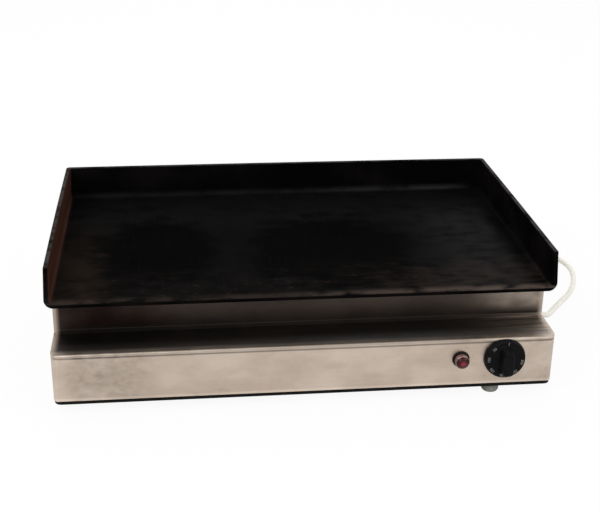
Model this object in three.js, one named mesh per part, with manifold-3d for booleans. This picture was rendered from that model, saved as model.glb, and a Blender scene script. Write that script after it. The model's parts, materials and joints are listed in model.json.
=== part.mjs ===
// Countertop electric griddle: a black steel tray with three bent-up rims on a stepped
// stainless casing, with its heaters, thermostat, pilot lamp, wiring and mains cord.
// Millimetres. +X to the right, +Y to the back, +Z up. It stands on z = 0, and the group
// at the end moves the middle of its footprint to the origin.

import * as THREE from 'three';
import { mergeVertices } from 'three/addons/utils/BufferGeometryUtils.js';
import Module from 'manifold-3d';

// Fits and drawing steps
const seatGap = 0.3;
const runningGap = 0.3;
const overrun = 2;
const weldSink = 0.5;
const mergeDistance = 1e-4;
const bendSteps = 3;
const roundSides = 24;
const knobSides = 40;
const holeSides = 12;
const smallSides = 10;
const footSides = 16;
const plugSides = 20;
const pipeSides = 8;
const wireSides = 6;

// Cooking tray
const trayWidth = 600;
const trayDepth = 350;
const trayRimHeight = 50;
const trayPlate = 5;
const trayBendInside = 6;
const traySideLeanDegrees = 2.6;
const trayRimCornerRadius = 7;
const trayStudRadius = 2.5;
const trayStudLength = 9.5;
const trayStudInset = 60;

// Stepped casing
const trayOverhang = 6;
const sheet = 1.2;
const skirtSetback = 23;
const skirtHeight = 44;
const controlBoxReach = 32;
const controlBoxHeight = 60;
const rearSetback = 10;
const boxCornerRadius = 9;
const skirtCornerRadius = 5;
const rearCornerRadius = 2;
const ledgeBendRadius = 3;
const topBendRadius = 1.5;
const hemRadius = 2;
const topFlange = 14;
const bottomFlange = 10;
const rearFlange = 14;
const openingRadius = 6;
const earthStudRadius = 2;
const earthStudLength = 12;
const earthStudBehindSkirt = 162;
const earthStudHeight = 20;

// Rear panel and its pressed louvres
const panelSheet = 1;
const panelMargin = 2.5;
const panelCornerRadius = 3;
const louvreColumns = 2;
const louvreRows = 4;
const louvreLength = 96;
const louvreHeight = 9;
const louvreDepth = 4.5;
const louvreRowSpacing = 15;
const louvreColumnSpacing = 190;

// Base pan, vents and feet
const panSheet = 1;
const panInset = 1;
const panRimHeight = 3.8;
const panClearance = 12.2;
const ventSlotLength = 70;
const ventSlotWidth = 5;
const ventSlots = 5;
const ventSlotSpacing = 18;
const ventFieldSpacing = 240;
const ventFieldFromRear = 150;
const footRadius = 10.3;
const footToeRadius = 8.9;
const footToeHeight = 2.4;
const footDimpleRadius = 3.4;
const footDimpleDepth = 3;
const footStemRadius = 3.6;
const footBarbRadius = 4.8;
const footBarbHeight = 3.4;
const footTipRadius = 2.2;
const footFromSide = 71;
const frontRightFootSetback = 16;
const frontLeftFootSetback = 52;
const rearFootSetback = 46;

// Fasteners
const screwShankRadius = 1.7;
const screwHeadRadius = 3.5;
const screwHeadHeight = 2.2;
const screwGrip = 5;
const screwCrownShare = 0.7;
const nutAcrossFlats = 8;
const nutHeight = 4;

// Heaters under the tray
const tubeRadius = 4.25;
const tubeLegSpacing = 46;
const tubeRowSpacing = 95;
const tubeFrontBehindSkirt = 62;
const tubeFromLeftWall = 49;
const tubeFromRightWall = 56;
const tubeShortLeg = 26;
const tubeDropBend = 18;
const tubeEndAboveLedge = 4;
const terminalRadius = 1.75;
const terminalLength = 9;
const clampBarWidth = 18;
const clampBarThickness = 2;
const clampBarLength = 268;
const clampBarFromLeftWall = 144;
const clampBarFromRightWall = 184;
const clampStudLength = 16.5;
const busWidth = 10;
const busThickness = 1.5;
const busOverhang = 14;

// Heat shield and insulation
const shieldSheet = 1;
const shieldWallInset = 19;
const shieldDepth = 30;
const shieldCornerRadius = 6;
const tubeHoleRadius = 6.5;
const blanketThickness = 11;
const blanketStop = 42;

// Thermostat and its dial
const dialFromRight = 61.4;
const controlsHeight = 35;
const spindleRadius = 3;
const spindleFlat = 1.6;
const spindleLength = 16;
const spindleSeatDepth = 9;
const spindleFlatLength = 11;
const bushRadius = 4.8;
const bushLength = 3;
const knobGap = 1;
const knobRadius = 24.8;
const knobFaceRadius = 23.4;
const knobSkirtHeight = 6.5;
const knobWall = 2.2;
const knobRecessDepth = 4.5;
const knobEdgeStep = 1.2;
const gripLength = 35;
const gripWidth = 20;
const gripHeight = 15;
const gripFrontLength = 30;
const gripFrontWidth = 15.5;
const gripEdge = 2.4;
const thermostatWidth = 40;
const thermostatHeight = 42;
const thermostatDepth = 31;
const thermostatPlate = 1.5;
const thermostatPlateMargin = 2;
const thermostatCornerRadius = 4;
const thermostatScrewSpacing = 28;
const thermostatTabWidth = 6.3;
const thermostatTabThickness = 0.8;
const thermostatTabLength = 8;
const thermostatTabSpacing = 16;
const thermostatTabDrop = 5.5;
const capillaryRadius = 1;
const capillaryBend = 10;
const bulbRadius = 3;
const bulbLength = 80;
const bulbFromTerminals = 88;
const clipWidth = 10;
const clipSheet = 1;
const clipFoot = 6;

// Pilot lamp
const lampFromRight = 113.7;
const gasketRadius = 10.3;
const gasketThickness = 1;
const bezelRadius = 8.6;
const bezelLipRadius = 7.9;
const bezelLength = 8.4;
const bezelEdge = 1.4;
const bezelNeckRadius = 6;
const lampTailLength = 22;
const lensRadius = 7.1;
const lensSeatDepth = 4;
const lensRimHeight = 1.2;
const lensDomeHeight = 2.6;
const lampNutAcrossFlats = 17;
const lampNutHeight = 4;
const lampTabSpacing = 9;
const lampTabWidth = 4.8;
const lampTabThickness = 0.8;
const lampTabLength = 5;

// Terminal block and leads
const blockWidth = 34;
const blockDepth = 44;
const blockHeight = 20;
const blockFromWall = 21.3;
const blockCornerRadius = 2;
const leadRadius = 1.4;
const leadBend = 7;
const leadTailSpacing = 14;
const wiringLane = 12;

// Mains cord, its strain relief, coil, tie and plug
const cordRadius = 3.75;
const cordLength = 1800;
const cordStep = 17;
const cordSides = 8;
const exitBehindSkirt = 99;
const exitAboveBottom = 12;
const reliefNeckRadius = 7;
const reliefLipRadius = 8.6;
const reliefLipLength = 2.6;
const reliefFlangeRadius = 9;
const reliefFlangeLength = 3;
const reliefSleeveRadius = 6.6;
const reliefTipRadius = 4.8;
const reliefLength = 24;
const reliefRibs = 4;
const reliefRibDepth = 0.7;
const coilX = 150;
const coilRearY = 486;
const coilTurns = 4.5;
const coilTurnSpacing = 8.4;
const coilLift = 5.2;
const coilStepsPerTurn = 24;
const coilSides = 6;
const coilLeadIn = 7.5;
const tailRun = 44;
const tieWidth = 5;
const tieThickness = 0.8;
const tieClearance = 0.5;
const plugAxisHeight = 18.8;
const plugFaceRadius = 18.4;
const plugFaceLength = 13;
const plugGripRadius = 14.5;
const plugGripWidthShare = 0.82;
const plugGripLength = 24;
const plugSleeveRadius = 6.5;
const plugSleeveLength = 20;
const plugSleeveWall = 1;
const plugShoulderRun = 2;
const plugWaistRun = 3;
const plugEdge = 1;
const plugNotchRadius = 3.2;
const plugNotchLength = 15;
const plugEarthRadius = 2.5;
const plugEarthDepth = 12;
const plugEarthOffset = 10;
const pinRadius = 2.4;
const pinLength = 19;
const pinSpacing = 19;
const pinSeat = 8;

// Heights and faces that follow from the sizes above
const casingBottom = panClearance + panRimHeight;
const ledgeTop = casingBottom + controlBoxHeight;
const trayUnder = ledgeTop + skirtHeight;
const casingTop = trayUnder - seatGap;
const casingHalf = trayWidth / 2 - trayOverhang;
const faceY = -controlBoxReach;
const casingRear = trayDepth - rearSetback;
const panTop = casingBottom - seatGap;
const panUnder = panTop - panSheet;
const dialX = casingHalf - dialFromRight;
const lampX = casingHalf - lampFromRight;
const controlsZ = casingBottom + controlsHeight;
const flangeMiddle = casingHalf - sheet - (topFlange - sheet) / 2;
const screwHoleRadius = screwShankRadius + runningGap;
const studHoleRadius = trayStudRadius + runningGap;
const tubeZ = trayUnder - seatGap - tubeRadius;
const tubeRows = [0, 1, 2].map((i) => skirtSetback + tubeFrontBehindSkirt + i * tubeRowSpacing);
const clampStudRows = [0, 1].map((i) => (tubeRows[i] + tubeRows[i + 1]) / 2);
const clampBarTop = tubeZ - tubeRadius - seatGap;
const clampBarLeft = clampBarFromLeftWall - casingHalf;
const clampBarRight = casingHalf - clampBarFromRightWall;
const clampBarColumns = [clampBarLeft, clampBarRight];
const tubeLoopX = tubeFromLeftWall - casingHalf;
const longLegX = casingHalf - tubeFromRightWall;
const shortLegX = longLegX - tubeShortLeg;
const tubeEnd = ledgeTop + tubeEndAboveLedge;
const busTop = tubeEnd - seatGap;
const shieldTop = casingTop - sheet - seatGap;
const shieldFloor = shieldTop - shieldDepth;
const exitY = skirtSetback + exitBehindSkirt;
const exitZ = casingBottom + exitAboveBottom;
const blockRight = casingHalf - sheet - blockFromWall;
const blockLeft = blockRight - blockWidth;
const blockFront = exitY - blockDepth / 2;
const blockBase = panTop + seatGap;
const terminalZ = blockBase + blockHeight * 0.6;

// The cord's route where it isn't coiled: out of the right wall, down on to the table, in a
// wide bow to the back and on behind the casing. Points are x, y from the tray's front, z.
const cordRoute = [
  [326, 122, 28], [332, 123.4, 26.3], [338.5, 129.5, 23.2], [346, 140.6, 19.2], [356, 157.7, 14.8],
  [369, 179, 10.3], [385.4, 203.7, 6.4], [402.2, 226.8, 4.4], [416.5, 251, 4], [427.5, 277, 4],
  [434, 301, 4], [436.2, 321, 4], [434.2, 338, 4], [428.5, 354, 4], [418, 372, 4],
  [402, 391, 4], [379, 411, 4], [352, 429, 4], [318, 446, 4.2], [280, 461, 4.5],
  [240, 473, 4.9], [200, 481, 5.2], [172, 485, 5.2],
];

// Materials
function finish(color, roughness, metalness) {
  return new THREE.MeshStandardMaterial({ color, roughness, metalness });
}

const blackSteel = finish(0x1b1918, 0.55, 0.6);
const stainless = finish(0xb9ada0, 0.35, 0.9);
const galvanised = finish(0x9a9c9c, 0.5, 0.8);
const blackPaint = finish(0x141414, 0.6, 0.1);
const zincPlate = finish(0xc2c3c0, 0.4, 0.9);
const heaterSheath = finish(0x5d564e, 0.5, 0.8);
const mineralWool = finish(0xd8cfae, 0.95, 0);
const brass = finish(0xb9923f, 0.35, 0.9);
const bakelite = finish(0x161616, 0.45, 0);
const ceramic = finish(0xe9e4d6, 0.6, 0);
const copper = finish(0xb0693e, 0.35, 0.9);
const chrome = finish(0xd9d9d9, 0.12, 1);
const redLens = finish(0x7d0c14, 0.15, 0);
const blackRubber = finish(0x121212, 0.8, 0);
const greyRubber = finish(0x6f7172, 0.8, 0);
const creamVinyl = finish(0xe9e4d4, 0.5, 0);
const brownWire = finish(0x6a3a1c, 0.6, 0);
const blueWire = finish(0x2b5aa0, 0.6, 0);
const earthWire = finish(0x5d8f35, 0.6, 0);

const radians = THREE.MathUtils.degToRad;
const griddle = new THREE.Group();
griddle.name = 'countertop_griddle';

const wasm = await Module();
wasm.setup();

// Solids for cutting and joining

function solid(geometry) {
  const bare = geometry.clone();
  bare.deleteAttribute('normal');
  bare.deleteAttribute('uv');
  const merged = mergeVertices(bare, mergeDistance);
  const corners = Array.from(merged.index.array);
  const kept = [];
  for (let i = 0; i < corners.length; i += 3) {
    const [a, b, c] = corners.slice(i, i + 3);
    if (a !== b && b !== c && c !== a) kept.push(a, b, c);
  }
  return new wasm.Manifold(new wasm.Mesh({
    numProp: 3,
    vertProperties: Float32Array.from(merged.attributes.position.array),
    triVerts: Uint32Array.from(kept),
  }));
}

function geometryOf(body) {
  const mesh = body.getMesh();
  const geometry = new THREE.BufferGeometry();
  geometry.setAttribute('position', new THREE.BufferAttribute(Float32Array.from(mesh.vertProperties), 3));
  geometry.setIndex(new THREE.BufferAttribute(Uint32Array.from(mesh.triVerts), 1));
  geometry.computeVertexNormals();
  return geometry;
}

const joined = (first, ...rest) => rest.reduce((body, next) => body.add(next), first);
const cut = (body, ...cutters) => cutters.reduce((left, cutter) => left.subtract(cutter), body);

function addPiece(name, shape, material, parent = griddle) {
  const geometry = shape instanceof THREE.BufferGeometry ? shape : geometryOf(shape);
  const mesh = new THREE.Mesh(geometry, material);
  mesh.name = name;
  parent.add(mesh);
  return mesh;
}

// Outlines, extrusions and round bodies

// A closed outline through corners [x, y, radius], each rounded by an arc tangent to its sides
function roundedOutline(corners, quarterSteps = bendSteps) {
  const at = (i) => new THREE.Vector2(...corners[(i + corners.length) % corners.length].slice(0, 2));
  return new THREE.Shape(corners.flatMap(([x, y, radius = 0], i) => {
    const corner = at(i);
    if (radius <= 0) return [corner];
    const back = at(i - 1).sub(corner).normalize();
    const onward = at(i + 1).sub(corner).normalize();
    const half = Math.acos(THREE.MathUtils.clamp(back.dot(onward), -1, 1)) / 2;
    const centre = back.clone().add(onward).normalize().multiplyScalar(radius / Math.sin(half)).add(corner);
    const arm = back.clone().multiplyScalar(radius / Math.tan(half)).add(corner).sub(centre);
    const sweep = Math.sign(onward.cross(back)) * (Math.PI - 2 * half);
    const steps = Math.max(1, Math.round((Math.abs(sweep) / Math.PI) * 2 * quarterSteps));
    return Array.from({ length: steps + 1 }, (_, s) => (
      arm.clone().rotateAround(new THREE.Vector2(), (sweep * s) / steps).add(centre)));
  }));
}

function roundedRectangle(x0, y0, x1, y1, ...radii) {
  const [r0, r1 = r0, r2 = r1, r3 = r0] = radii;
  return roundedOutline([[x0, y0, r0], [x1, y0, r1], [x1, y1, r2], [x0, y1, r3]]);
}

function polygon(radius, sides, turn = 0) {
  const points = Array.from({ length: sides }, (_, i) => {
    const angle = turn + (i / sides) * 2 * Math.PI;
    return new THREE.Vector2(radius * Math.cos(angle), radius * Math.sin(angle));
  });
  return new THREE.Shape(points);
}

function extruded(shape, length) {
  return new THREE.ExtrudeGeometry(shape, { depth: length, bevelEnabled: false });
}

// A shape drawn in (y, z), drawn out along X
function alongX(shape, from, to) {
  const toWorld = new THREE.Matrix4().makeBasis(
    new THREE.Vector3(0, 1, 0), new THREE.Vector3(0, 0, 1), new THREE.Vector3(1, 0, 0));
  return solid(extruded(shape, to - from).applyMatrix4(toWorld).translate(from, 0, 0));
}

// A shape drawn in (x, z), drawn out along Y
function alongY(shape, from, to) {
  return solid(extruded(shape, to - from).rotateX(Math.PI / 2).translate(0, to, 0));
}

// A shape drawn in (x, y), drawn out along Z
function alongZ(shape, from, to) {
  return solid(extruded(shape, to - from).translate(0, 0, from));
}

// A slot with round ends, long in x
function slotOutline(x, y, length, width) {
  const end = width / 2;
  const reach = length / 2 - end;
  const cap = (side) => [-1, -0.5, 0, 0.5, 1].map((share) => {
    const angle = (share * Math.PI) / 2;
    return new THREE.Vector2(x + side * (reach + end * Math.cos(angle)), y + side * end * Math.sin(angle));
  });
  return new THREE.Shape([...cap(1), ...cap(-1)]);
}

const rodX = (radius, y, z, from, to, sides = holeSides) =>
  alongX(polygon(radius, sides, Math.PI / sides), from, to).translate([0, y, z]);
const rodY = (radius, x, z, from, to, sides = holeSides) =>
  alongY(polygon(radius, sides, Math.PI / sides), from, to).translate([x, 0, z]);
const rodZ = (radius, x, y, from, to, sides = holeSides) =>
  alongZ(polygon(radius, sides, Math.PI / sides), from, to).translate([x, y, 0]);

// Cutters for holes of one radius, at places [x, y], through a level sheet
function holesThrough(radius, places, low, high, sides = holeSides) {
  return places.map(([x, y]) => rodZ(radius, x, y, low - overrun, high + overrun, sides));
}

// A round body about +Z from a profile of [radius, height] that starts and ends on the axis
function turned(profile, sides = roundSides) {
  const points = profile.map(([radius, height]) => new THREE.Vector2(radius, height));
  return solid(new THREE.LatheGeometry(points, sides).rotateX(Math.PI / 2));
}

// A ring about +Z from a profile that closes on itself away from the axis
function turnedRing(innerRadius, outerRadius, from, to, sides = roundSides) {
  return cut(
    turned([[0, from], [outerRadius, from], [outerRadius, to], [0, to]], sides),
    ...holesThrough(innerRadius, [[0, 0]], from, to, sides),
  );
}

// A body through rings of equal point counts, closed by a fan at each end
function lofted(rings) {
  const count = rings[0].length;
  const middle = (ring) => ring.reduce((sum, p) => sum.add(p), new THREE.Vector3()).divideScalar(count);
  const points = rings.flat().concat([middle(rings[0]), middle(rings.at(-1))]);
  const first = rings.length * count;
  const faces = [];
  for (let i = 0; i < count; i += 1) {
    const next = (i + 1) % count;
    for (let r = 0; r < rings.length - 1; r += 1) {
      const low = r * count;
      const high = low + count;
      faces.push(low + i, low + next, high + next, low + i, high + next, high + i);
    }
    const top = (rings.length - 1) * count;
    faces.push(first, next, i, first + 1, top + i, top + next);
  }
  const geometry = new THREE.BufferGeometry();
  geometry.setAttribute('position', new THREE.Float32BufferAttribute(points.flatMap((p) => [p.x, p.y, p.z]), 3));
  geometry.setIndex(faces);
  geometry.computeVertexNormals();
  return geometry;
}

// A path that an extrusion follows exactly from station to station
class StationPath extends THREE.Curve {
  constructor(stations) {
    super();
    this.stations = stations;
  }

  getPoint(share, target = new THREE.Vector3()) {
    return target.copy(this.stations[Math.round(share * (this.stations.length - 1))]);
  }

  getPointAt(share, target) {
    return this.getPoint(share, target);
  }

  getTangentAt(share, target = new THREE.Vector3()) {
    const last = this.stations.length - 1;
    const i = Math.round(share * last);
    const here = this.stations[i];
    const before = this.stations[Math.max(i - 1, 0)];
    const after = this.stations[Math.min(i + 1, last)];
    target.set(0, 0, 0);
    if (i > 0) target.add(here.clone().sub(before).normalize());
    if (i < last) target.add(after.clone().sub(here).normalize());
    return target.normalize();
  }
}

function pipe(stations, radius, sides) {
  return new THREE.ExtrudeGeometry(polygon(radius, sides), {
    steps: stations.length - 1,
    bevelEnabled: false,
    extrudePath: new StationPath(stations),
  });
}

// Stations along straight runs between corners, with an arc of the given radius at each inner corner
function bentPath(corners, radii, arcSteps = bendSteps) {
  const points = corners.map((corner) => new THREE.Vector3(...corner));
  const stations = [points[0]];
  const add = (point) => {
    if (point.distanceTo(stations.at(-1)) > mergeDistance) stations.push(point);
  };
  for (let i = 1; i < points.length - 1; i += 1) {
    const corner = points[i];
    const back = points[i - 1].clone().sub(corner).normalize();
    const onward = points[i + 1].clone().sub(corner).normalize();
    const half = back.angleTo(onward) / 2;
    const radius = Array.isArray(radii) ? radii[i - 1] : radii;
    const centre = back.clone().add(onward).normalize().multiplyScalar(radius / Math.sin(half)).add(corner);
    const arm = back.clone().multiplyScalar(radius / Math.tan(half)).add(corner).sub(centre);
    const axis = onward.clone().cross(back).normalize();
    for (let s = 0; s <= arcSteps; s += 1) {
      const turn = ((Math.PI - 2 * half) * s) / arcSteps;
      add(arm.clone().applyAxisAngle(axis, turn).add(centre));
    }
  }
  add(points.at(-1));
  return stations;
}

// Fasteners

function panHeadScrew() {
  return turned([
    [0, -screwGrip], [screwShankRadius, -screwGrip], [screwShankRadius, 0], [screwHeadRadius, 0],
    [screwHeadRadius, screwHeadHeight / 2], [screwHeadRadius * screwCrownShare, screwHeadHeight],
    [0, screwHeadHeight],
  ], smallSides);
}

function hexNut(acrossFlats, height, boreRadius) {
  const body = alongZ(polygon(acrossFlats / 2 / Math.cos(Math.PI / 6), 6), 0, height);
  return cut(body, rodZ(boreRadius, 0, 0, -overrun, height + overrun, smallSides));
}

// Cooking tray

// The tray's cross-section, filled: a flat bottom, two rounded bends and two sides that lean in
function trayChannel(half, bottom, top, bendRadius) {
  const lean = Math.tan(radians(traySideLeanDegrees)) * (top - bottom);
  return roundedOutline([
    [-half, bottom, bendRadius], [half, bottom, bendRadius], [half - lean, top], [-half + lean, top],
  ]);
}

function trayStuds() {
  const rows = [skirtSetback + trayStudInset, casingRear - trayStudInset];
  return rows.flatMap((y) => [-flangeMiddle, flangeMiddle].map((x) => [x, y]));
}

const clampStuds = clampBarColumns.flatMap((x) => clampStudRows.map((y) => [x, y]));

// The outer form less the inner one, each where a channel drawn out in depth meets a side
// profile drawn out in width, so that the three rims close in mitred rear corners
function griddleTray() {
  const half = trayWidth / 2;
  const lean = radians(traySideLeanDegrees);
  const innerHalf = half - trayPlate / Math.cos(lean) - trayPlate * Math.tan(lean);
  const above = trayRimHeight + overrun;
  const outerSide = roundedOutline([
    [0, 0], [trayDepth, 0, trayBendInside + trayPlate], [trayDepth, trayRimHeight],
    [0, trayRimHeight, trayRimCornerRadius],
  ]);
  const innerSide = roundedOutline([
    [-overrun, trayPlate], [trayDepth - trayPlate, trayPlate, trayBendInside],
    [trayDepth - trayPlate, above], [-overrun, above],
  ]);
  const outer = alongY(trayChannel(half, 0, trayRimHeight, trayBendInside + trayPlate), 0, trayDepth)
    .intersect(alongX(outerSide, -half, half));
  const inner = alongY(trayChannel(innerHalf, trayPlate, above, trayBendInside), -overrun, trayDepth)
    .intersect(alongX(innerSide, -half, half));
  const formed = outer.subtract(inner).translate([0, 0, trayUnder]);
  const studs = (places, length) => places.map(([x, y]) => (
    rodZ(trayStudRadius, x, y, trayUnder - length, trayUnder + weldSink)));
  return joined(formed, ...studs(trayStuds(), trayStudLength), ...studs(clampStuds, clampStudLength));
}

// Stepped casing

// The stepped block that the sheet wraps, drawn in by the inset on every face
function casingBlock(inset) {
  const half = casingHalf - inset;
  const front = faceY + inset;
  const skirt = skirtSetback + inset;
  const rear = casingRear - inset;
  const bottom = casingBottom + inset;
  const ledge = ledgeTop - inset;
  const top = casingTop - inset;
  const plan = (foremost, cornerRadius) => roundedRectangle(
    -half, foremost, half, rear, cornerRadius - inset, cornerRadius - inset,
    rearCornerRadius - inset, rearCornerRadius - inset);
  const side = roundedOutline([
    [front, bottom, hemRadius - inset], [rear, bottom], [rear, top], [skirt, top, topBendRadius - inset],
    [skirt, ledge], [front, ledge, ledgeBendRadius - inset],
  ]);
  return alongZ(plan(front, boxCornerRadius), bottom, ledge)
    .add(alongZ(plan(skirt, skirtCornerRadius), bottom, top))
    .intersect(alongX(side, -casingHalf, casingHalf));
}

function casingOpenings() {
  const within = (flange, low, high) => roundedRectangle(
    -casingHalf + flange, low + flange, casingHalf - flange, high - flange, openingRadius);
  const top = within(topFlange, skirtSetback, casingRear);
  const bottom = within(bottomFlange, faceY, casingRear);
  const rear = within(rearFlange, casingBottom, casingTop);
  return [
    alongZ(top, casingTop - sheet - overrun, casingTop + overrun),
    alongZ(bottom, casingBottom - overrun, casingBottom + sheet + overrun),
    alongY(rear, casingRear - sheet - overrun, casingRear + overrun),
  ];
}

const throughFace = (radius, x) => rodY(radius, x, controlsZ, faceY - overrun, faceY + sheet + overrun);

const panelScrews = [-1, 1].flatMap((side) => [
  [side * (casingHalf - rearFlange / 2), casingBottom + rearFlange * 1.5],
  [side * (casingHalf - rearFlange / 2), casingTop - rearFlange * 1.5],
]);
const panScrewX = casingHalf - panInset - panSheet - screwHeadRadius - runningGap;
const panScrews = [-1, 1].flatMap((side) => [
  [side * panScrewX, skirtSetback + trayStudInset],
  [side * panScrewX, casingRear - trayStudInset],
]);

function casingShell() {
  const holes = [
    throughFace(bushRadius + runningGap, dialX),
    throughFace(screwHoleRadius, dialX - thermostatScrewSpacing / 2),
    throughFace(screwHoleRadius, dialX + thermostatScrewSpacing / 2),
    throughFace(bezelNeckRadius + runningGap, lampX),
    rodX(reliefNeckRadius + runningGap, exitY, exitZ, casingHalf - sheet - overrun, casingHalf + overrun),
    ...holesThrough(studHoleRadius, trayStuds(), casingTop - sheet, casingTop),
    ...holesThrough(screwHoleRadius, panScrews, casingBottom, casingBottom + sheet),
    ...panelScrews.map(([x, z]) => (
      rodY(screwHoleRadius, x, z, casingRear - sheet - overrun, casingRear + overrun))),
  ];
  const wallInside = casingHalf - sheet;
  const earthStud = rodX(
    earthStudRadius, skirtSetback + earthStudBehindSkirt, casingBottom + earthStudHeight,
    wallInside - earthStudLength, wallInside + weldSink);
  return joined(cut(casingBlock(0), casingBlock(sheet), ...casingOpenings(), ...holes), earthStud);
}

// Rear panel

// A louvre is pressed out of the sheet: its hood curves down from the panel and is open below
function louvreHood(inset) {
  const hood = roundedOutline([
    [-panelSheet / 2, inset], [louvreDepth - inset, inset],
    [louvreDepth - inset, louvreHeight - inset, louvreDepth - inset * 2],
    [-panelSheet / 2, louvreHeight - inset],
  ]);
  return alongX(hood, -louvreLength / 2 + inset, louvreLength / 2 - inset);
}

function louvrePlaces() {
  const middle = (casingBottom + casingTop) / 2 - louvreHeight / 2;
  const places = [];
  for (let column = 0; column < louvreColumns; column += 1) {
    for (let row = 0; row < louvreRows; row += 1) {
      places.push([
        (column - (louvreColumns - 1) / 2) * louvreColumnSpacing,
        middle + (row - (louvreRows - 1) / 2) * louvreRowSpacing,
      ]);
    }
  }
  return places;
}

function rearPanel() {
  const half = casingHalf - panelMargin;
  const front = casingRear + seatGap;
  const outside = front + panelSheet;
  const sheetPlan = roundedRectangle(
    -half, casingBottom + panelMargin, half, casingTop - panelMargin, panelCornerRadius);
  const plate = alongY(sheetPlan, front, outside);
  const hood = louvreHood(0);
  const hollow = louvreHood(panelSheet / 2);
  const mouth = alongX(
    roundedRectangle(
      -panelSheet - overrun, panelSheet / 2, louvreDepth - panelSheet / 2, louvreHeight - louvreDepth, 0),
    -louvreLength / 2 + panelSheet / 2, louvreLength / 2 - panelSheet / 2);
  const slit = alongX(
    roundedRectangle(0, -overrun, louvreDepth - panelSheet / 2, louvreHeight / 2, 0),
    -louvreLength / 2 + panelSheet / 2, louvreLength / 2 - panelSheet / 2);
  const places = louvrePlaces();
  const hoods = places.map(([x, z]) => hood.translate([x, outside, z]));
  const hollows = places.flatMap(([x, z]) => (
    [hollow, mouth, slit].map((cutter) => cutter.translate([x, outside, z]))));
  const holes = panelScrews.map(([x, z]) => rodY(screwHoleRadius, x, z, front - overrun, outside + overrun));
  return cut(joined(plate, ...hoods), ...hollows, ...holes);
}

// Base pan and feet

const footX = casingHalf - footFromSide;
const feet = {
  foot_front_left: [-footX, faceY + frontLeftFootSetback],
  foot_front_right: [footX, faceY + frontRightFootSetback],
  foot_rear_left: [-footX, casingRear - rearFootSetback],
  foot_rear_right: [footX, casingRear - rearFootSetback],
};

function panPlan(inset) {
  const half = casingHalf - panInset - inset;
  const frontRadius = boxCornerRadius - panInset - inset;
  return roundedRectangle(
    -half, faceY + panInset + inset, half, casingRear - panInset - inset,
    frontRadius, frontRadius, rearCornerRadius, rearCornerRadius);
}

function basePan() {
  const hollow = alongZ(panPlan(panSheet), panClearance - overrun, panUnder);
  const tray = cut(alongZ(panPlan(0), panClearance, panTop), hollow);
  const slots = [];
  for (const side of [-1, 1]) {
    for (let i = 0; i < ventSlots; i += 1) {
      const x = side * ventFieldSpacing / 2;
      const y = casingRear - ventFieldFromRear + (i - (ventSlots - 1) / 2) * ventSlotSpacing;
      slots.push(alongZ(slotOutline(x, y, ventSlotLength, ventSlotWidth), panUnder - overrun, panTop + overrun));
    }
  }
  const footHoles = holesThrough(footStemRadius + seatGap, Object.values(feet), panUnder, panTop);
  const screwHoles = holesThrough(screwHoleRadius, panScrews, panUnder, panTop);
  return cut(tray, ...slots, ...footHoles, ...screwHoles);
}

// A rubber foot with a stem pushed through the pan and a barb that holds it from above
function rubberFoot() {
  const shoulder = panUnder - seatGap;
  const barb = panTop + seatGap;
  return turned([
    [0, footDimpleDepth], [footDimpleRadius, footDimpleDepth], [footDimpleRadius, 0], [footToeRadius, 0],
    [footRadius, footToeHeight], [footRadius, shoulder], [footStemRadius, shoulder], [footStemRadius, barb],
    [footBarbRadius, barb], [footTipRadius, barb + footBarbHeight], [0, barb + footBarbHeight],
  ], footSides);
}

// Heaters, clamp bars and bus bars

function heatingElement(y) {
  const near = y - tubeLegSpacing / 2;
  const far = y + tubeLegSpacing / 2;
  const sheath = bentPath([
    [longLegX, near, tubeEnd], [longLegX, near, tubeZ], [tubeLoopX, near, tubeZ],
    [tubeLoopX, far, tubeZ], [shortLegX, far, tubeZ], [shortLegX, far, tubeEnd],
  ], [tubeDropBend, tubeLegSpacing / 2, tubeLegSpacing / 2, tubeDropBend], 2 * bendSteps);
  const pin = (x, row) => rodZ(terminalRadius, x, row, tubeEnd - terminalLength, tubeEnd + weldSink, wireSides);
  return joined(solid(pipe(sheath, tubeRadius, pipeSides)), pin(longLegX, near), pin(shortLegX, far));
}

function clampBar(x) {
  const middle = (clampStudRows[0] + clampStudRows[1]) / 2;
  const bar = alongZ(
    roundedRectangle(
      x - clampBarWidth / 2, middle - clampBarLength / 2, x + clampBarWidth / 2, middle + clampBarLength / 2,
      clampBarWidth * 0.3),
    clampBarTop - clampBarThickness, clampBarTop);
  const places = clampStudRows.map((y) => [x, y]);
  return cut(bar, ...holesThrough(studHoleRadius, places, clampBarTop - clampBarThickness, clampBarTop));
}

// A strip round the terminal pins of one side of every heater
function busBar(x, rows) {
  const half = busWidth / 2;
  const under = busTop - busThickness;
  const plan = roundedRectangle(
    x - half, rows[0] - busOverhang, x + half, rows.at(-1) + busOverhang, busThickness);
  const strip = alongZ(plan, under, busTop);
  const places = rows.map((y) => [x, y]);
  return cut(strip, ...holesThrough(terminalRadius + runningGap, places, under, busTop, wireSides));
}

const longLegRows = tubeRows.map((y) => y - tubeLegSpacing / 2);
const shortLegRows = tubeRows.map((y) => y + tubeLegSpacing / 2);

// Heat shield and insulation

const capillaryX = shortLegX + (tubeShortLeg / 2);
const capillaryY = tubeRows[0];

function shieldPlan(inset) {
  const half = casingHalf - inset;
  return roundedRectangle(-half, skirtSetback + inset, half, casingRear - inset, shieldCornerRadius);
}

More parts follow.
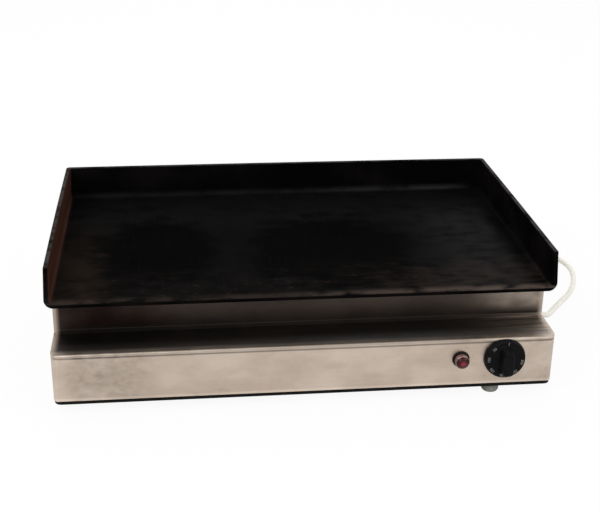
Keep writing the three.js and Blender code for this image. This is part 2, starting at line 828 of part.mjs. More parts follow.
function heatShield() {
  const flange = alongZ(shieldPlan(sheet + seatGap), shieldTop - shieldSheet, shieldTop);
  const tub = alongZ(shieldPlan(shieldWallInset), shieldFloor, shieldTop);
  const hollow = alongZ(shieldPlan(shieldWallInset + shieldSheet), shieldFloor + shieldSheet, shieldTop + overrun);
  const legHoles = [
    ...longLegRows.map((y) => [longLegX, y]),
    ...shortLegRows.map((y) => [shortLegX, y]),
  ];
  const floorTop = shieldFloor + shieldSheet;
  return cut(
    joined(flange, tub), hollow,
    ...holesThrough(tubeHoleRadius, legHoles, shieldFloor, floorTop),
    ...holesThrough(capillaryRadius * 2.5, [[capillaryX, capillaryY]], shieldFloor, floorTop),
    ...holesThrough(studHoleRadius, trayStuds(), shieldTop - shieldSheet, shieldTop),
  );
}

function insulationBlanket() {
  const inset = shieldWallInset + shieldSheet + seatGap;
  const bottom = shieldFloor + shieldSheet + seatGap;
  const half = casingHalf - inset;
  return alongZ(
    roundedRectangle(-half, skirtSetback + inset, longLegX - blanketStop, casingRear - inset, shieldCornerRadius),
    bottom, bottom + blanketThickness);
}

// Thermostat, spindle and dial. In the panel's own frame x is right, y up and z out of the face.

function onPanel(x) {
  const group = new THREE.Group();
  group.position.set(x, faceY, controlsZ);
  group.rotation.x = Math.PI / 2;
  griddle.add(group);
  return group;
}

const thermostatFront = -sheet - seatGap;
const thermostatBack = thermostatFront - thermostatDepth;

function thermostatBody() {
  const plate = alongZ(
    roundedRectangle(
      -thermostatWidth / 2 - thermostatPlateMargin, -thermostatHeight / 2,
      thermostatWidth / 2 + thermostatPlateMargin, thermostatHeight / 2, thermostatCornerRadius),
    thermostatFront - thermostatPlate, thermostatFront);
  const block = alongZ(
    roundedRectangle(
      -thermostatWidth / 2, -thermostatHeight / 2 + thermostatPlateMargin, thermostatWidth / 2,
      thermostatHeight / 2 - thermostatPlateMargin, thermostatCornerRadius),
    thermostatBack, thermostatFront - thermostatPlate + weldSink);
  const bush = rodZ(bushRadius, 0, 0, thermostatFront - weldSink, bushLength);
  const tabs = [-1, 1].map((side) => alongZ(
    roundedRectangle(
      side * thermostatTabSpacing / 2 - thermostatTabWidth / 2, -thermostatTabDrop - thermostatTabThickness / 2,
      side * thermostatTabSpacing / 2 + thermostatTabWidth / 2, -thermostatTabDrop + thermostatTabThickness / 2, 0),
    thermostatBack - thermostatTabLength, thermostatBack + weldSink));
  const bore = rodZ(
    spindleRadius + runningGap, 0, 0, thermostatFront - spindleSeatDepth - seatGap, bushLength + overrun);
  const screwBores = [-1, 1].map((side) => rodZ(
    screwHoleRadius, side * thermostatScrewSpacing / 2, 0, -screwGrip - seatGap * 2, thermostatFront + overrun));
  return cut(joined(plate, block, bush, ...tabs), bore, ...screwBores);
}

// A round bar with a flat from the tip down to where the knob ends
function dShape(radius, flat) {
  const edge = radius - flat;
  const half = Math.acos(edge / radius);
  return new THREE.Shape(Array.from({ length: holeSides + 1 }, (_, i) => {
    const angle = Math.PI / 2 + half + (i / holeSides) * 2 * (Math.PI - half);
    return new THREE.Vector2(radius * Math.cos(angle), radius * Math.sin(angle));
  }));
}

function thermostatSpindle() {
  const flatFrom = spindleLength - spindleFlatLength;
  const bar = rodZ(spindleRadius, 0, 0, thermostatFront - spindleSeatDepth, spindleLength);
  const flat = alongZ(
    roundedRectangle(-spindleRadius * 2, spindleRadius - spindleFlat, spindleRadius * 2, spindleRadius * 2, 0),
    flatFrom, spindleLength + overrun);
  return cut(bar, flat);
}

// The grip's outline at one height: a long rounded bar, drawn in at its waist for the fingers
function gripRing(length, width, height) {
  const waistShare = 0.16;
  const cornerShare = 0.62;
  return Array.from({ length: roundSides }, (_, i) => {
    const angle = (i / roundSides) * 2 * Math.PI;
    const bend = (value) => Math.sign(value) * Math.abs(value) ** cornerShare;
    const along = bend(Math.sin(angle));
    const across = bend(Math.cos(angle)) * (1 - waistShare * (1 - along * along));
    return new THREE.Vector3((across * width) / 2, (along * length) / 2, height);
  });
}

function thermostatKnob() {
  const back = knobGap;
  const dial = back + knobSkirtHeight;
  const top = dial + gripHeight;
  const skirt = turned([
    [0, back], [knobRadius, back], [knobRadius, back + knobEdgeStep], [knobFaceRadius, dial - knobEdgeStep / 2],
    [knobFaceRadius - knobEdgeStep / 2, dial], [0, dial],
  ], knobSides);
  const grip = solid(lofted([
    gripRing(gripLength, gripWidth, dial - weldSink),
    gripRing(gripFrontLength, gripFrontWidth, top - gripEdge),
    gripRing(gripFrontLength - gripEdge * 0.6, gripFrontWidth - gripEdge * 0.6, top - gripEdge * 0.3),
    gripRing(gripFrontLength - gripEdge * 2, gripFrontWidth - gripEdge * 2, top),
  ]));
  const recess = rodZ(knobRadius - knobWall, 0, 0, back - overrun, back + knobRecessDepth, knobSides);
  const bore = alongZ(dShape(spindleRadius + seatGap, spindleFlat), 0, spindleLength + seatGap);
  return cut(joined(skirt, grip), recess, bore);
}

// Sensing bulb, its capillary and clip

function bulbCentre() {
  return [shortLegX - bulbFromTerminals / 2 - bulbLength / 2, capillaryY, trayUnder - seatGap - bulbRadius];
}

function sensingBulb() {
  const [x, y, z] = bulbCentre();
  return turned([
    [0, -bulbLength / 2], [bulbRadius / 2, -bulbLength / 2], [bulbRadius, -bulbLength / 2 + bulbRadius],
    [bulbRadius, bulbLength / 2 - bulbRadius], [bulbRadius / 2, bulbLength / 2], [0, bulbLength / 2],
  ], pipeSides).rotate([0, 90, 0]).translate([x, y, z]);
}

function capillaryTube() {
  const [x, y, z] = bulbCentre();
  const startX = dialX - thermostatWidth / 2 + capillaryRadius * 4;
  const startZ = controlsZ + thermostatHeight / 2 - thermostatPlateMargin - capillaryRadius * 5;
  const startY = faceY - thermostatBack + seatGap;
  return pipe(bentPath([
    [startX, startY, startZ], [startX, capillaryY - tubeLegSpacing / 2, startZ],
    [capillaryX, capillaryY, startZ], [capillaryX, y, z], [x + bulbLength / 2 + seatGap, y, z],
  ], [capillaryBend, capillaryBend / 2, capillaryBend]), capillaryRadius, wireSides);
}

function bulbClip() {
  const [x, y, z] = bulbCentre();
  const inside = bulbRadius + seatGap;
  const outside = inside + clipSheet;
  const under = z - inside;
  const top = trayUnder - seatGap;
  const strap = roundedOutline([
    [-outside - clipFoot, top], [-outside - clipFoot, top - clipSheet], [-outside, top - clipSheet],
    [-outside, under - clipSheet], [outside, under - clipSheet], [outside, top - clipSheet],
    [outside + clipFoot, top - clipSheet], [outside + clipFoot, top], [inside, top],
    [inside, under], [-inside, under], [-inside, top],
  ]);
  return alongX(strap, x - clipWidth / 2, x + clipWidth / 2).translate([0, y, 0]);
}

// Pilot lamp, in the panel's own frame

function lampBezel() {
  const seat = seatGap + gasketThickness + seatGap;
  const front = seat + bezelLength;
  const outside = turned([
    [0, -sheet - lampTailLength], [bezelNeckRadius, -sheet - lampTailLength], [bezelNeckRadius, seat],
    [bezelRadius, seat], [bezelRadius, front - bezelEdge], [bezelLipRadius, front], [0, front],
  ]);
  const tabs = [-1, 1].map((side) => alongZ(
    roundedRectangle(
      -lampTabWidth / 2, side * lampTabSpacing / 2 - lampTabThickness / 2, lampTabWidth / 2,
      side * lampTabSpacing / 2 + lampTabThickness / 2, 0),
    -sheet - lampTailLength - lampTabLength, -sheet - lampTailLength + weldSink));
  const cup = rodZ(lensRadius + seatGap, 0, 0, front - lensSeatDepth, front + overrun, roundSides);
  return cut(joined(outside, ...tabs), cup);
}

function lampLens() {
  const seat = seatGap + gasketThickness + seatGap + bezelLength - lensSeatDepth + seatGap;
  const rim = seat + lensSeatDepth - seatGap + lensRimHeight;
  const dome = [0.35, 0.65, 0.88].map((share) => [
    lensRadius * Math.sqrt(1 - share * share), rim + lensDomeHeight * share,
  ]);
  return turned([[0, seat], [lensRadius, seat], [lensRadius, rim], ...dome, [0, rim + lensDomeHeight]]);
}

// Wiring inside the casing

const terminalX = (way) => (blockLeft + blockRight) / 2 + (way * leadTailSpacing) / 2;
const blockFace = blockFront - seatGap;
const blockBack = blockFront + blockDepth + seatGap;

function terminalBlock() {
  const body = alongZ(
    roundedRectangle(blockLeft, blockFront, blockRight, blockFront + blockDepth, blockCornerRadius),
    blockBase, blockBase + blockHeight);
  const wells = [-1, 0, 1].flatMap((row) => [-1, 1].map((side) => rodZ(
    screwHeadRadius - seatGap, (blockLeft + blockRight) / 2 + side * blockWidth / 4, exitY + row * leadTailSpacing,
    blockBase + blockHeight - screwHeadHeight * 2, blockBase + blockHeight + overrun, smallSides)));
  return cut(body, ...wells);
}

function lead(corners) {
  return pipe(bentPath(corners, leadBend), leadRadius, wireSides);
}

function addLeads() {
  const tabY = faceY - thermostatBack + thermostatTabLength + seatGap;
  const tabZ = controlsZ - thermostatTabDrop;
  const tabX = (side) => dialX + side * thermostatTabSpacing / 2;
  const busFront = (rows) => rows[0] - busOverhang - seatGap;
  const busZ = busTop - busThickness / 2;
  const behind = skirtSetback + wiringLane;
  const liveX = terminalX(1);
  const neutralX = terminalX(-1);
  addPiece('lead_live', lead([
    [liveX, blockFace, terminalZ], [liveX, behind, terminalZ], [tabX(1), behind, tabZ], [tabX(1), tabY, tabZ],
  ]), brownWire);
  addPiece('lead_heater', lead([
    [tabX(-1), tabY, tabZ], [tabX(-1), behind, tabZ], [longLegX, behind, busZ],
    [longLegX, busFront(longLegRows), busZ],
  ]), brownWire);
  const aside = shortLegX - busWidth;
  addPiece('lead_neutral', lead([
    [neutralX, blockFace, terminalZ], [neutralX, blockFace - leadBend * 3, terminalZ],
    [aside, blockFace - leadBend * 4, terminalZ], [aside, behind, busZ],
    [shortLegX, behind + leadBend, busZ], [shortLegX, busFront(shortLegRows), busZ],
  ]), blueWire);
  const lampTabY = faceY + sheet + lampTailLength + lampTabLength + seatGap;
  const lampTabZ = (side) => controlsZ + (side * lampTabSpacing) / 2;
  const lampLoop = lampTabY + leadBend * 2;
  const bodyLeft = dialX - thermostatWidth / 2 - seatGap;
  addPiece('lamp_lead_live', lead([
    [lampX, lampTabY, lampTabZ(1)], [lampX, lampLoop, lampTabZ(1)],
    [bodyLeft - leadBend * 2, lampLoop, lampTabZ(1)], [bodyLeft - leadBend * 2, lampTabY, lampTabZ(1)],
    [bodyLeft, lampTabY, lampTabZ(1)],
  ]), brownWire);
  const lowZ = terminalZ - leadBend;
  addPiece('lamp_lead_neutral', lead([
    [lampX, lampTabY, lampTabZ(-1)], [lampX, behind, lampTabZ(-1)], [lampX, blockFace - leadBend * 5, lowZ],
    [neutralX, blockFace - leadBend * 3, lowZ], [neutralX, blockFace, lowZ],
  ]), blueWire);
  const earthY = skirtSetback + earthStudBehindSkirt;
  const earthZ = casingBottom + earthStudHeight;
  const earthX = casingHalf - sheet - earthStudLength - seatGap;
  addPiece('lead_earth', lead([
    [liveX, blockBack, terminalZ], [liveX, earthY, earthZ], [earthX, earthY, earthZ],
  ]), earthWire);
}

// Strain relief, cord, coil, tie and plug

function strainRelief() {
  const sleeveStart = seatGap + reliefFlangeLength;
  const sleeve = reliefLength - sleeveStart;
  const ribs = [];
  for (let i = 0; i < reliefRibs; i += 1) {
    const share = (i + 0.5) / (reliefRibs + 0.5);
    const radius = reliefSleeveRadius + (reliefTipRadius - reliefSleeveRadius) * share;
    const z = sleeveStart + sleeve * share;
    const groove = sleeve / reliefRibs / 5;
    ribs.push([radius, z - groove], [radius - reliefRibDepth, z], [radius, z + groove]);
  }
  const lipBack = -sheet - seatGap;
  return turned([
    [0, lipBack - reliefLipLength], [reliefNeckRadius, lipBack - reliefLipLength], [reliefLipRadius, lipBack],
    [reliefNeckRadius, lipBack], [reliefNeckRadius, seatGap], [reliefFlangeRadius, seatGap],
    [reliefFlangeRadius, sleeveStart], [reliefSleeveRadius, sleeveStart],
    ...ribs, [reliefTipRadius, reliefLength], [0, reliefLength],
  ], holeSides).rotate([0, 90, 0]).translate([casingHalf, exitY, exitZ]);
}

const coilMeanRadius = () => {
  const start = new THREE.CatmullRomCurve3(freeRoute()).getLength();
  const tail = tailRoute(0).reduce((sum, p, i, all) => sum + (i ? p.distanceTo(all[i - 1]) : 0), 0);
  return (cordLength - start - coilLeadIn - tail) / (2 * Math.PI * coilTurns);
};

// The free stretch from the strain relief's tip to the coil's lead-in
function freeRoute() {
  const exit = new THREE.Vector3(casingHalf + reliefLength + seatGap, exitY, exitZ);
  const points = cordRoute.map((point) => new THREE.Vector3(...point));
  const end = new THREE.Vector3(coilX + coilLeadIn + seatGap, coilRearY, coilLift);
  return [exit, ...points, end];
}

// From the coil's last turn, straight on and up to the plug's axis
function tailRoute(y) {
  const from = coilLift + coilTurnSpacing;
  const steps = 8;
  return Array.from({ length: steps + 1 }, (_, i) => {
    const share = i / steps;
    const rise = share * share * (3 - 2 * share);
    return new THREE.Vector3(coilX + tailRun * share, y, from + (plugAxisHeight - from) * rise);
  });
}

const coilRadius = coilMeanRadius();
const coilOuterRadius = coilRadius + (coilTurns * coilTurnSpacing) / 4;
const coilCentreY = coilRearY - coilOuterRadius;

// Two layers: the lower spirals in and the upper out again at the same rate, and the cord
// climbs from one to the other in the half turn where the spiral reverses
function coilStations() {
  const turns = coilTurns;
  const count = Math.round(turns * coilStepsPerTurn);
  const stations = [new THREE.Vector3(coilX + coilLeadIn, coilCentreY + coilOuterRadius, coilLift)];
  for (let i = 0; i <= count; i += 1) {
    const turn = (i / count) * turns;
    const fromMiddle = turn - turns / 2;
    const radius = coilOuterRadius - (turns / 2 - Math.abs(fromMiddle)) * coilTurnSpacing;
    const climb = THREE.MathUtils.smoothstep(fromMiddle, -0.25, 0.25);
    const angle = Math.PI / 2 + turn * 2 * Math.PI;
    stations.push(new THREE.Vector3(
      coilX + radius * Math.cos(angle), coilCentreY + radius * Math.sin(angle),
      coilLift + climb * coilTurnSpacing));
  }
  const tail = tailRoute(coilCentreY - coilOuterRadius).slice(1);
  const last = tail.at(-1);
  return [...stations, ...tail, new THREE.Vector3(last.x + coilLeadIn, last.y, last.z)];
}

// The least clear distance between parts of the coil a quarter turn or more apart along it
function leastSelfGap(stations) {
  const apart = Math.round(coilStepsPerTurn / 4);
  const segments = stations.slice(1).map((point, i) => new THREE.Line3(stations[i], point));
  const near = new THREE.Vector3();
  let least = Infinity;
  segments.forEach((segment, i) => {
    for (const other of segments.slice(i + apart)) {
      for (let share = 0; share <= 1; share += 0.25) {
        const point = segment.at(share, new THREE.Vector3());
        other.closestPointToPoint(point, true, near);
        least = Math.min(least, near.distanceTo(point));
      }
    }
  });
  return least - 2 * cordRadius;
}

// A band round the two layers of turns on the coil's right-hand side
function coilTie(stations) {
  const cross = stations.filter((p) => p.x > coilX && Math.abs(p.y - coilCentreY) < tieWidth);
  const reach = cordRadius + tieClearance;
  const inner = Math.min(...cross.map((p) => p.x)) - reach;
  const outer = Math.max(...cross.map((p) => p.x)) + reach;
  const low = coilLift - reach;
  const high = coilLift + coilTurnSpacing + reach;
  const band = (grow, from, to) => alongY(
    roundedRectangle(inner - grow, low - grow, outer + grow, high + grow, cordRadius + grow), from, to);
  const front = coilCentreY - tieWidth / 2;
  const back = coilCentreY + tieWidth / 2;
  return cut(band(tieThickness, front, back), band(0, front - overrun, back + overrun));
}

// A moulded plug lying on its side, its sleeve towards the cord and its pins away from it
function plugBody() {
  const gripFrom = plugSleeveLength;
  const faceFrom = gripFrom + plugGripLength;
  const end = faceFrom + plugFaceLength;
  const round = (radius, widthShare, z) => Array.from({ length: plugSides }, (_, i) => {
    const angle = (i / plugSides) * 2 * Math.PI;
    return new THREE.Vector3(radius * widthShare * Math.cos(angle), radius * Math.sin(angle), z);
  });
  const body = solid(lofted([
    round(cordRadius + plugSleeveWall, 1, 0),
    round(plugSleeveRadius, 1, plugSleeveLength * 0.9),
    round(plugGripRadius * 0.86, plugGripWidthShare, gripFrom + plugShoulderRun),
    round(plugGripRadius, plugGripWidthShare, gripFrom + plugGripLength * 0.4),
    round(plugGripRadius * 0.92, plugGripWidthShare, faceFrom - plugWaistRun),
    round(plugFaceRadius, 1, faceFrom + plugEdge),
    round(plugFaceRadius, 1, end - plugEdge),
    round(plugFaceRadius - plugEdge, 1, end),
  ]));
  const notches = [-1, 1].map((side) => rodZ(
    plugNotchRadius, side * plugFaceRadius, 0, end - plugNotchLength, end + overrun, holeSides));
  const earth = rodZ(plugEarthRadius, 0, plugEarthOffset, end - plugEarthDepth, end + overrun);
  const bores = [-1, 1].map((side) => rodZ(
    pinRadius + seatGap, side * pinSpacing / 2, 0, end - pinSeat - seatGap, end + overrun));
  return cut(body, ...notches, earth, ...bores);
}

function plugPin() {
  const end = plugSleeveLength + plugGripLength + plugFaceLength;
  const tip = end + pinLength;
  return turned([
    [0, end - pinSeat], [pinRadius, end - pinSeat], [pinRadius, tip - pinRadius * 0.6],
    [pinRadius * 0.5, tip], [0, tip],
  ], holeSides);
}

function addCord() {
  addPiece('strain_relief', strainRelief(), blackRubber);
  const route = new THREE.CatmullRomCurve3(freeRoute());
  const stretchLength = route.getLength();
  const stations = coilStations();
  addPiece('mains_cord', new THREE.ExtrudeGeometry(polygon(cordRadius, cordSides), {
    steps: Math.round(stretchLength / cordStep),
    bevelEnabled: false,
    extrudePath: route,
  }), creamVinyl);
  addPiece('cord_coil', pipe(stations, cordRadius, coilSides), creamVinyl);
  addPiece('cord_tie', coilTie(stations), blackRubber);
  const plug = new THREE.Group();
  const entry = stations.at(-1);
  plug.position.set(entry.x + seatGap, entry.y, entry.z);
  plug.rotation.set(0, Math.PI / 2, 0);
  griddle.add(plug);
  addPiece('plug_body', plugBody(), creamVinyl, plug);
  [-1, 1].forEach((side, i) => {
    addPiece(`plug_pin_${i + 1}`, plugPin(), zincPlate, plug).position.x = side * pinSpacing / 2;
  });
  const coilLength = stations.slice(1).reduce((sum, point, i) => sum + point.distanceTo(stations[i]), 0);
  console.log(`cord: free stretch ${stretchLength.toFixed(1)} mm, coil and tail ${coilLength.toFixed(1)} mm`);
  const gap = leastSelfGap(stations);
  console.log(`coil: mean radius ${coilRadius.toFixed(1)} mm, least gap to itself ${gap.toFixed(2)} mm`);
}

// Assembly

addPiece('griddle_tray', griddleTray(), blackSteel);
addPiece('casing_shell', casingShell(), stainless);
addPiece('rear_panel', rearPanel(), stainless);
addPiece('base_pan', basePan(), blackPaint);
addPiece('heat_shield', heatShield(), galvanised);
addPiece('insulation_blanket', insulationBlanket(), mineralWool);

['front', 'middle', 'rear'].forEach((place, i) => {
  addPiece(`heating_element_${place}`, heatingElement(tubeRows[i]), heaterSheath);
});
addPiece('clamp_bar_left', clampBar(clampBarLeft), zincPlate);
addPiece('clamp_bar_right', clampBar(clampBarRight), zincPlate);
clampStuds.forEach(([x, y], i) => {
  const nut = addPiece(`clamp_nut_${i + 1}`, hexNut(nutAcrossFlats, nutHeight, studHoleRadius), zincPlate);
  nut.position.set(x, y, clampBarTop - clampBarThickness - seatGap - nutHeight);
});
trayStuds().forEach(([x, y], i) => {
  const nut = addPiece(`tray_nut_${i + 1}`, hexNut(nutAcrossFlats, nutHeight, studHoleRadius), zincPlate);
  nut.position.set(x, y, shieldTop - shieldSheet - seatGap - nutHeight);
});
addPiece('live_bus_bar', busBar(longLegX, longLegRows), brass);
addPiece('neutral_bus_bar', busBar(shortLegX, shortLegRows), brass);

const dialGroup = onPanel(dialX);
addPiece('thermostat_body', thermostatBody(), bakelite, dialGroup);
addPiece('thermostat_spindle', thermostatSpindle(), zincPlate, dialGroup);
addPiece('thermostat_knob', thermostatKnob(), bakelite, dialGroup);
[-1, 1].forEach((side, i) => {
  const screw = addPiece(`thermostat_screw_${i + 1}`, panHeadScrew(), zincPlate, dialGroup);
  screw.position.set(side * thermostatScrewSpacing / 2, 0, seatGap);
});
addPiece('capillary_tube', capillaryTube(), copper);
addPiece('sensing_bulb', sensingBulb(), copper);
addPiece('bulb_clip', bulbClip(), zincPlate);

const lampGroup = onPanel(lampX);
const gasket = turnedRing(bezelNeckRadius + seatGap, gasketRadius, seatGap, seatGap + gasketThickness);
addPiece('pilot_lamp_gasket', gasket, blackRubber, lampGroup);
addPiece('pilot_lamp_bezel', lampBezel(), chrome, lampGroup);
addPiece('pilot_lamp_lens', lampLens(), redLens, lampGroup);
const lampNutShape = hexNut(lampNutAcrossFlats, lampNutHeight, bezelNeckRadius + seatGap);
const lampNut = addPiece('pilot_lamp_nut', lampNutShape, zincPlate, lampGroup);
lampNut.position.z = -sheet - seatGap - lampNutHeight;

addPiece('terminal_block', terminalBlock(), ceramic);
addPiece('cord_tail', rodX(
  cordRadius, exitY, exitZ, blockRight + seatGap,
  casingHalf - sheet - seatGap - reliefLipLength - seatGap, cordSides), creamVinyl);
addLeads();

for (const [name, [x, y]] of Object.entries(feet)) {
  addPiece(name, rubberFoot(), greyRubber).position.set(x, y, 0);
}
panelScrews.forEach(([x, z], i) => {
  const screw = addPiece(`rear_screw_${i + 1}`, panHeadScrew(), zincPlate);
  screw.position.set(x, casingRear + seatGap + panelSheet + seatGap, z);
  screw.rotation.x = -Math.PI / 2;
});
panScrews.forEach(([x, y], i) => {
  const screw = addPiece(`pan_screw_${i + 1}`, panHeadScrew(), zincPlate);
  screw.position.set(x, y, panUnder - seatGap);
  screw.rotation.x = Math.PI;
});
addCord();

// The footprint without the cord runs from the knob's face to the tray's rear edge
const frontReach = controlBoxReach + knobGap + knobSkirtHeight + gripHeight;
griddle.position.y = -(trayDepth - frontReach) / 2;

export default griddle;
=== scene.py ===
# %% [markdown]
# # Dressing a countertop griddle
#
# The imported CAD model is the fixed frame: every node stays where it is. This script adds the
# camera, the fine surfaces that a photograph shows and the finishes. Everything is in metres,
# with the table at z = 0, the dial at the front (-Y) and the right-hand wall at +X.

# %% Load the frame
import json
import math

import bpy
import numpy as np
from mathutils import Matrix, Vector


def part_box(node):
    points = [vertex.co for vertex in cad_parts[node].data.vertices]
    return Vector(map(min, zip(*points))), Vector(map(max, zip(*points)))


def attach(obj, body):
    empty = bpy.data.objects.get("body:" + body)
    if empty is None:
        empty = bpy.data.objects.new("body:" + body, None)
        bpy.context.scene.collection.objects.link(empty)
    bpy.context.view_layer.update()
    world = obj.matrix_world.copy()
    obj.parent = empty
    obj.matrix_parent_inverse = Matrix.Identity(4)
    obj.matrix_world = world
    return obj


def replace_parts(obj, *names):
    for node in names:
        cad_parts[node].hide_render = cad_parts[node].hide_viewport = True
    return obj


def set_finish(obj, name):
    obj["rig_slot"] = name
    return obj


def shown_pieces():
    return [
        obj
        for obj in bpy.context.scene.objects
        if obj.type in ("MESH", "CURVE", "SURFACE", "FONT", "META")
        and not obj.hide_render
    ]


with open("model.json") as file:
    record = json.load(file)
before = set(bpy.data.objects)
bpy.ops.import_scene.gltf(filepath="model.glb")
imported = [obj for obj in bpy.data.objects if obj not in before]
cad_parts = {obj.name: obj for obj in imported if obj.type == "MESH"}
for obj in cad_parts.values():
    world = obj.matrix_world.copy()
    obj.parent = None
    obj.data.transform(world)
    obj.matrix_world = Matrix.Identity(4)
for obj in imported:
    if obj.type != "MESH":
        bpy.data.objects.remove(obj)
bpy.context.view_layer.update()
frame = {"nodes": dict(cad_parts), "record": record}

MM = 0.001
FULL_TURN = 2 * math.pi

# %% [markdown]
# ## The camera
#
# The photograph was taken by someone standing a little to the left of the middle. The corners
# of the tray and of the casing give the viewpoint: each is a ray through a known pixel, and one
# place, turn and focal length fits them all to within two pixels. A camera could also be aimed
# with a Track To constraint, but a matrix says the small roll too.

# %% Camera
PHOTO_WIDTH_PIXELS = 600
FOCAL_PIXELS = 1137.0
SENSOR_WIDTH = 36.0
CAMERA_PLACE = Vector((-0.1463, -1.3316, 0.6894))
YAW, PITCH, ROLL = (math.radians(angle) for angle in (6.647, 23.345, 0.847))


def in_scene(name, data):
    """An object that holds the data, linked to the scene."""
    thing = bpy.data.objects.new(name, data)
    bpy.context.scene.collection.objects.link(thing)
    return thing


def add_camera():
    """Level view along +Y, turned right by yaw and down by pitch, then rolled about the lens."""
    level = Matrix(((1, 0, 0), (0, 0, -1), (0, 1, 0)))
    turned = (Matrix.Rotation(ROLL, 3, "Z") @ Matrix.Rotation(PITCH, 3, "X")
              @ Matrix.Rotation(-YAW, 3, "Y") @ level)
    right, down, onward = turned
    axes = Matrix((right, -down, -onward)).transposed()
    camera = in_scene("camera", bpy.data.cameras.new("camera"))
    camera.data.sensor_width = SENSOR_WIDTH
    camera.data.lens = SENSOR_WIDTH * FOCAL_PIXELS / PHOTO_WIDTH_PIXELS
    camera.matrix_world = Matrix.Translation(CAMERA_PLACE) @ axes.to_4x4()
    bpy.context.scene.camera = camera
    return camera


camera = add_camera()
print(f"lens {camera.data.lens:.1f} mm at {tuple(round(c, 3) for c in CAMERA_PLACE)}")

# %% [markdown]
# ## From arrays to meshes
#
# Every new surface below is a function of two parameters, worked out for a whole grid at once.
# The helpers turn such grids into a mesh. They number the corners of the grids' cells, merge
# points that lie in one place, as along a closed seam or at a pole, so that the surface is one
# skin, and turn it the right way out by the sign of its volume.

# %% Mesh helpers
MERGE = 1e-6
SHARP = math.radians(35)


def cells(rows, columns):
    """Four corner numbers for each cell of a grid whose points are stored row by row."""
    first = (np.arange(rows - 1)[:, None] * columns + np.arange(columns - 1)).reshape(-1, 1)
    return first + np.array([0, 1, columns + 1, columns])


def shell_volume(points, faces):
    """A sixth of the sum of the triple products of each cell's two halves."""
    a, b, c, d = (points[faces[:, i]] for i in range(4))
    return (np.einsum("ij,ij->", a, np.cross(b, c)) + np.einsum("ij,ij->", a, np.cross(c, d))) / 6


def merged(points, faces, distance=MERGE):
    """One point for all that lie in one place, and the faces' corners numbered anew."""
    place = np.round(points / distance).astype(np.int64)
    _, first, number = np.unique(place, axis=0, return_index=True, return_inverse=True)
    return points[first], number.reshape(-1)[faces]


def skin(*grids):
    """Points and faces of several grids of shape (rows, columns, 3), merged where they touch."""
    points = [grid.reshape(-1, 3) for grid in grids]
    starts = np.cumsum([0] + [len(own) for own in points])
    faces = [cells(*grid.shape[:2]) + start for grid, start in zip(grids, starts)]
    return merged(np.concatenate(points), np.concatenate(faces))


def mesh_of(name, points, faces, sharp=SHARP):
    """A mesh whose cells with two equal neighbouring corners become triangles or are dropped."""
    repeated = faces == np.roll(faces, -1, axis=1)
    quads = faces[repeated.sum(1) == 0]
    once = repeated.sum(1) == 1
    triangles = faces[once][~repeated[once]].reshape(-1, 3)
    mesh = bpy.data.meshes.new(name)
    mesh.from_pydata(points.tolist(), [], quads.tolist() + triangles.tolist())
    mesh.shade_smooth()
    mesh.set_sharp_from_angle(angle=sharp)
    return mesh


def add_piece(name, body, *grids, sharp=SHARP):
    """One object from grids that together close round a volume, riding on a body of the frame."""
    points, faces = skin(*grids)
    if shell_volume(points, faces) < 0:
        faces = faces[:, ::-1]
    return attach(in_scene(name, mesh_of(name, points, faces, sharp)), body)


def joined(*curves):
    """Several runs of points, one after the other."""
    return np.concatenate([np.asarray(curve, float) for curve in curves])


def smooth_step(value, low, high):
    """0 below low, 1 above high, and 3 t^2 - 2 t^3 between."""
    t = np.clip((value - low) / (high - low), 0, 1)
    return t * t * (3 - 2 * t)


def whole_turn(sides):
    """The angles of a circle's corners, the last exactly the first again."""
    angle = np.linspace(0, FULL_TURN, sides + 1)
    angle[-1] = 0
    return angle


# %% [markdown]
# ## The mains cord
#
# A cream three-core lead leaves the right wall through a tapered sleeve, drops to the table in
# a wide bow that shows behind the tray's right rim, and runs on behind the casing. What the
# photograph doesn't show is wound into a coil of two layers. Its route repeats the CAD model's
# points: a smooth curve through them, then the coil's formula, then the run up to the plug.
# Blender's curve object could hold it too, but the coil is easier to say as a formula.

# %% Cord route
CORD_RADIUS = 3.75 * MM
CORD_LENGTH = 1.8
TRAY_DEPTH = 350 * MM
FRONT_REACH = 54.5 * MM
FRONT_EDGE = -(TRAY_DEPTH - FRONT_REACH) / 2
CORD_EXIT = (318.3, 122, 28)
CORD_ROUTE = [
    (326, 122, 28), (332, 123.4, 26.3), (338.5, 129.5, 23.2), (346, 140.6, 19.2), (356, 157.7, 14.8),
    (369, 179, 10.3), (385.4, 203.7, 6.4), (402.2, 226.8, 4.4), (416.5, 251, 4), (427.5, 277, 4),
    (434, 301, 4), (436.2, 321, 4), (434.2, 338, 4), (428.5, 354, 4), (418, 372, 4),
    (402, 391, 4), (379, 411, 4), (352, 429, 4), (318, 446, 4.2), (280, 461, 4.5),
    (240, 473, 4.9), (200, 481, 5.2), (172, 485, 5.2),
]
COIL_X, COIL_REAR, COIL_LIFT, COIL_LEAD_IN = 150 * MM, 486 * MM, 5.2 * MM, 7.5 * MM
COIL_ENTRY = (157.8, 486, 5.2)
COIL_TURNS, COIL_SPACING, COIL_STEPS, CLIMB_TURNS = 4.5, 8.4 * MM, 48, 0.25
TAIL_RUN, PLUG_AXIS = 44 * MM, 18.8 * MM
ROUTE_STEPS, TAIL_STEPS = 6, 16


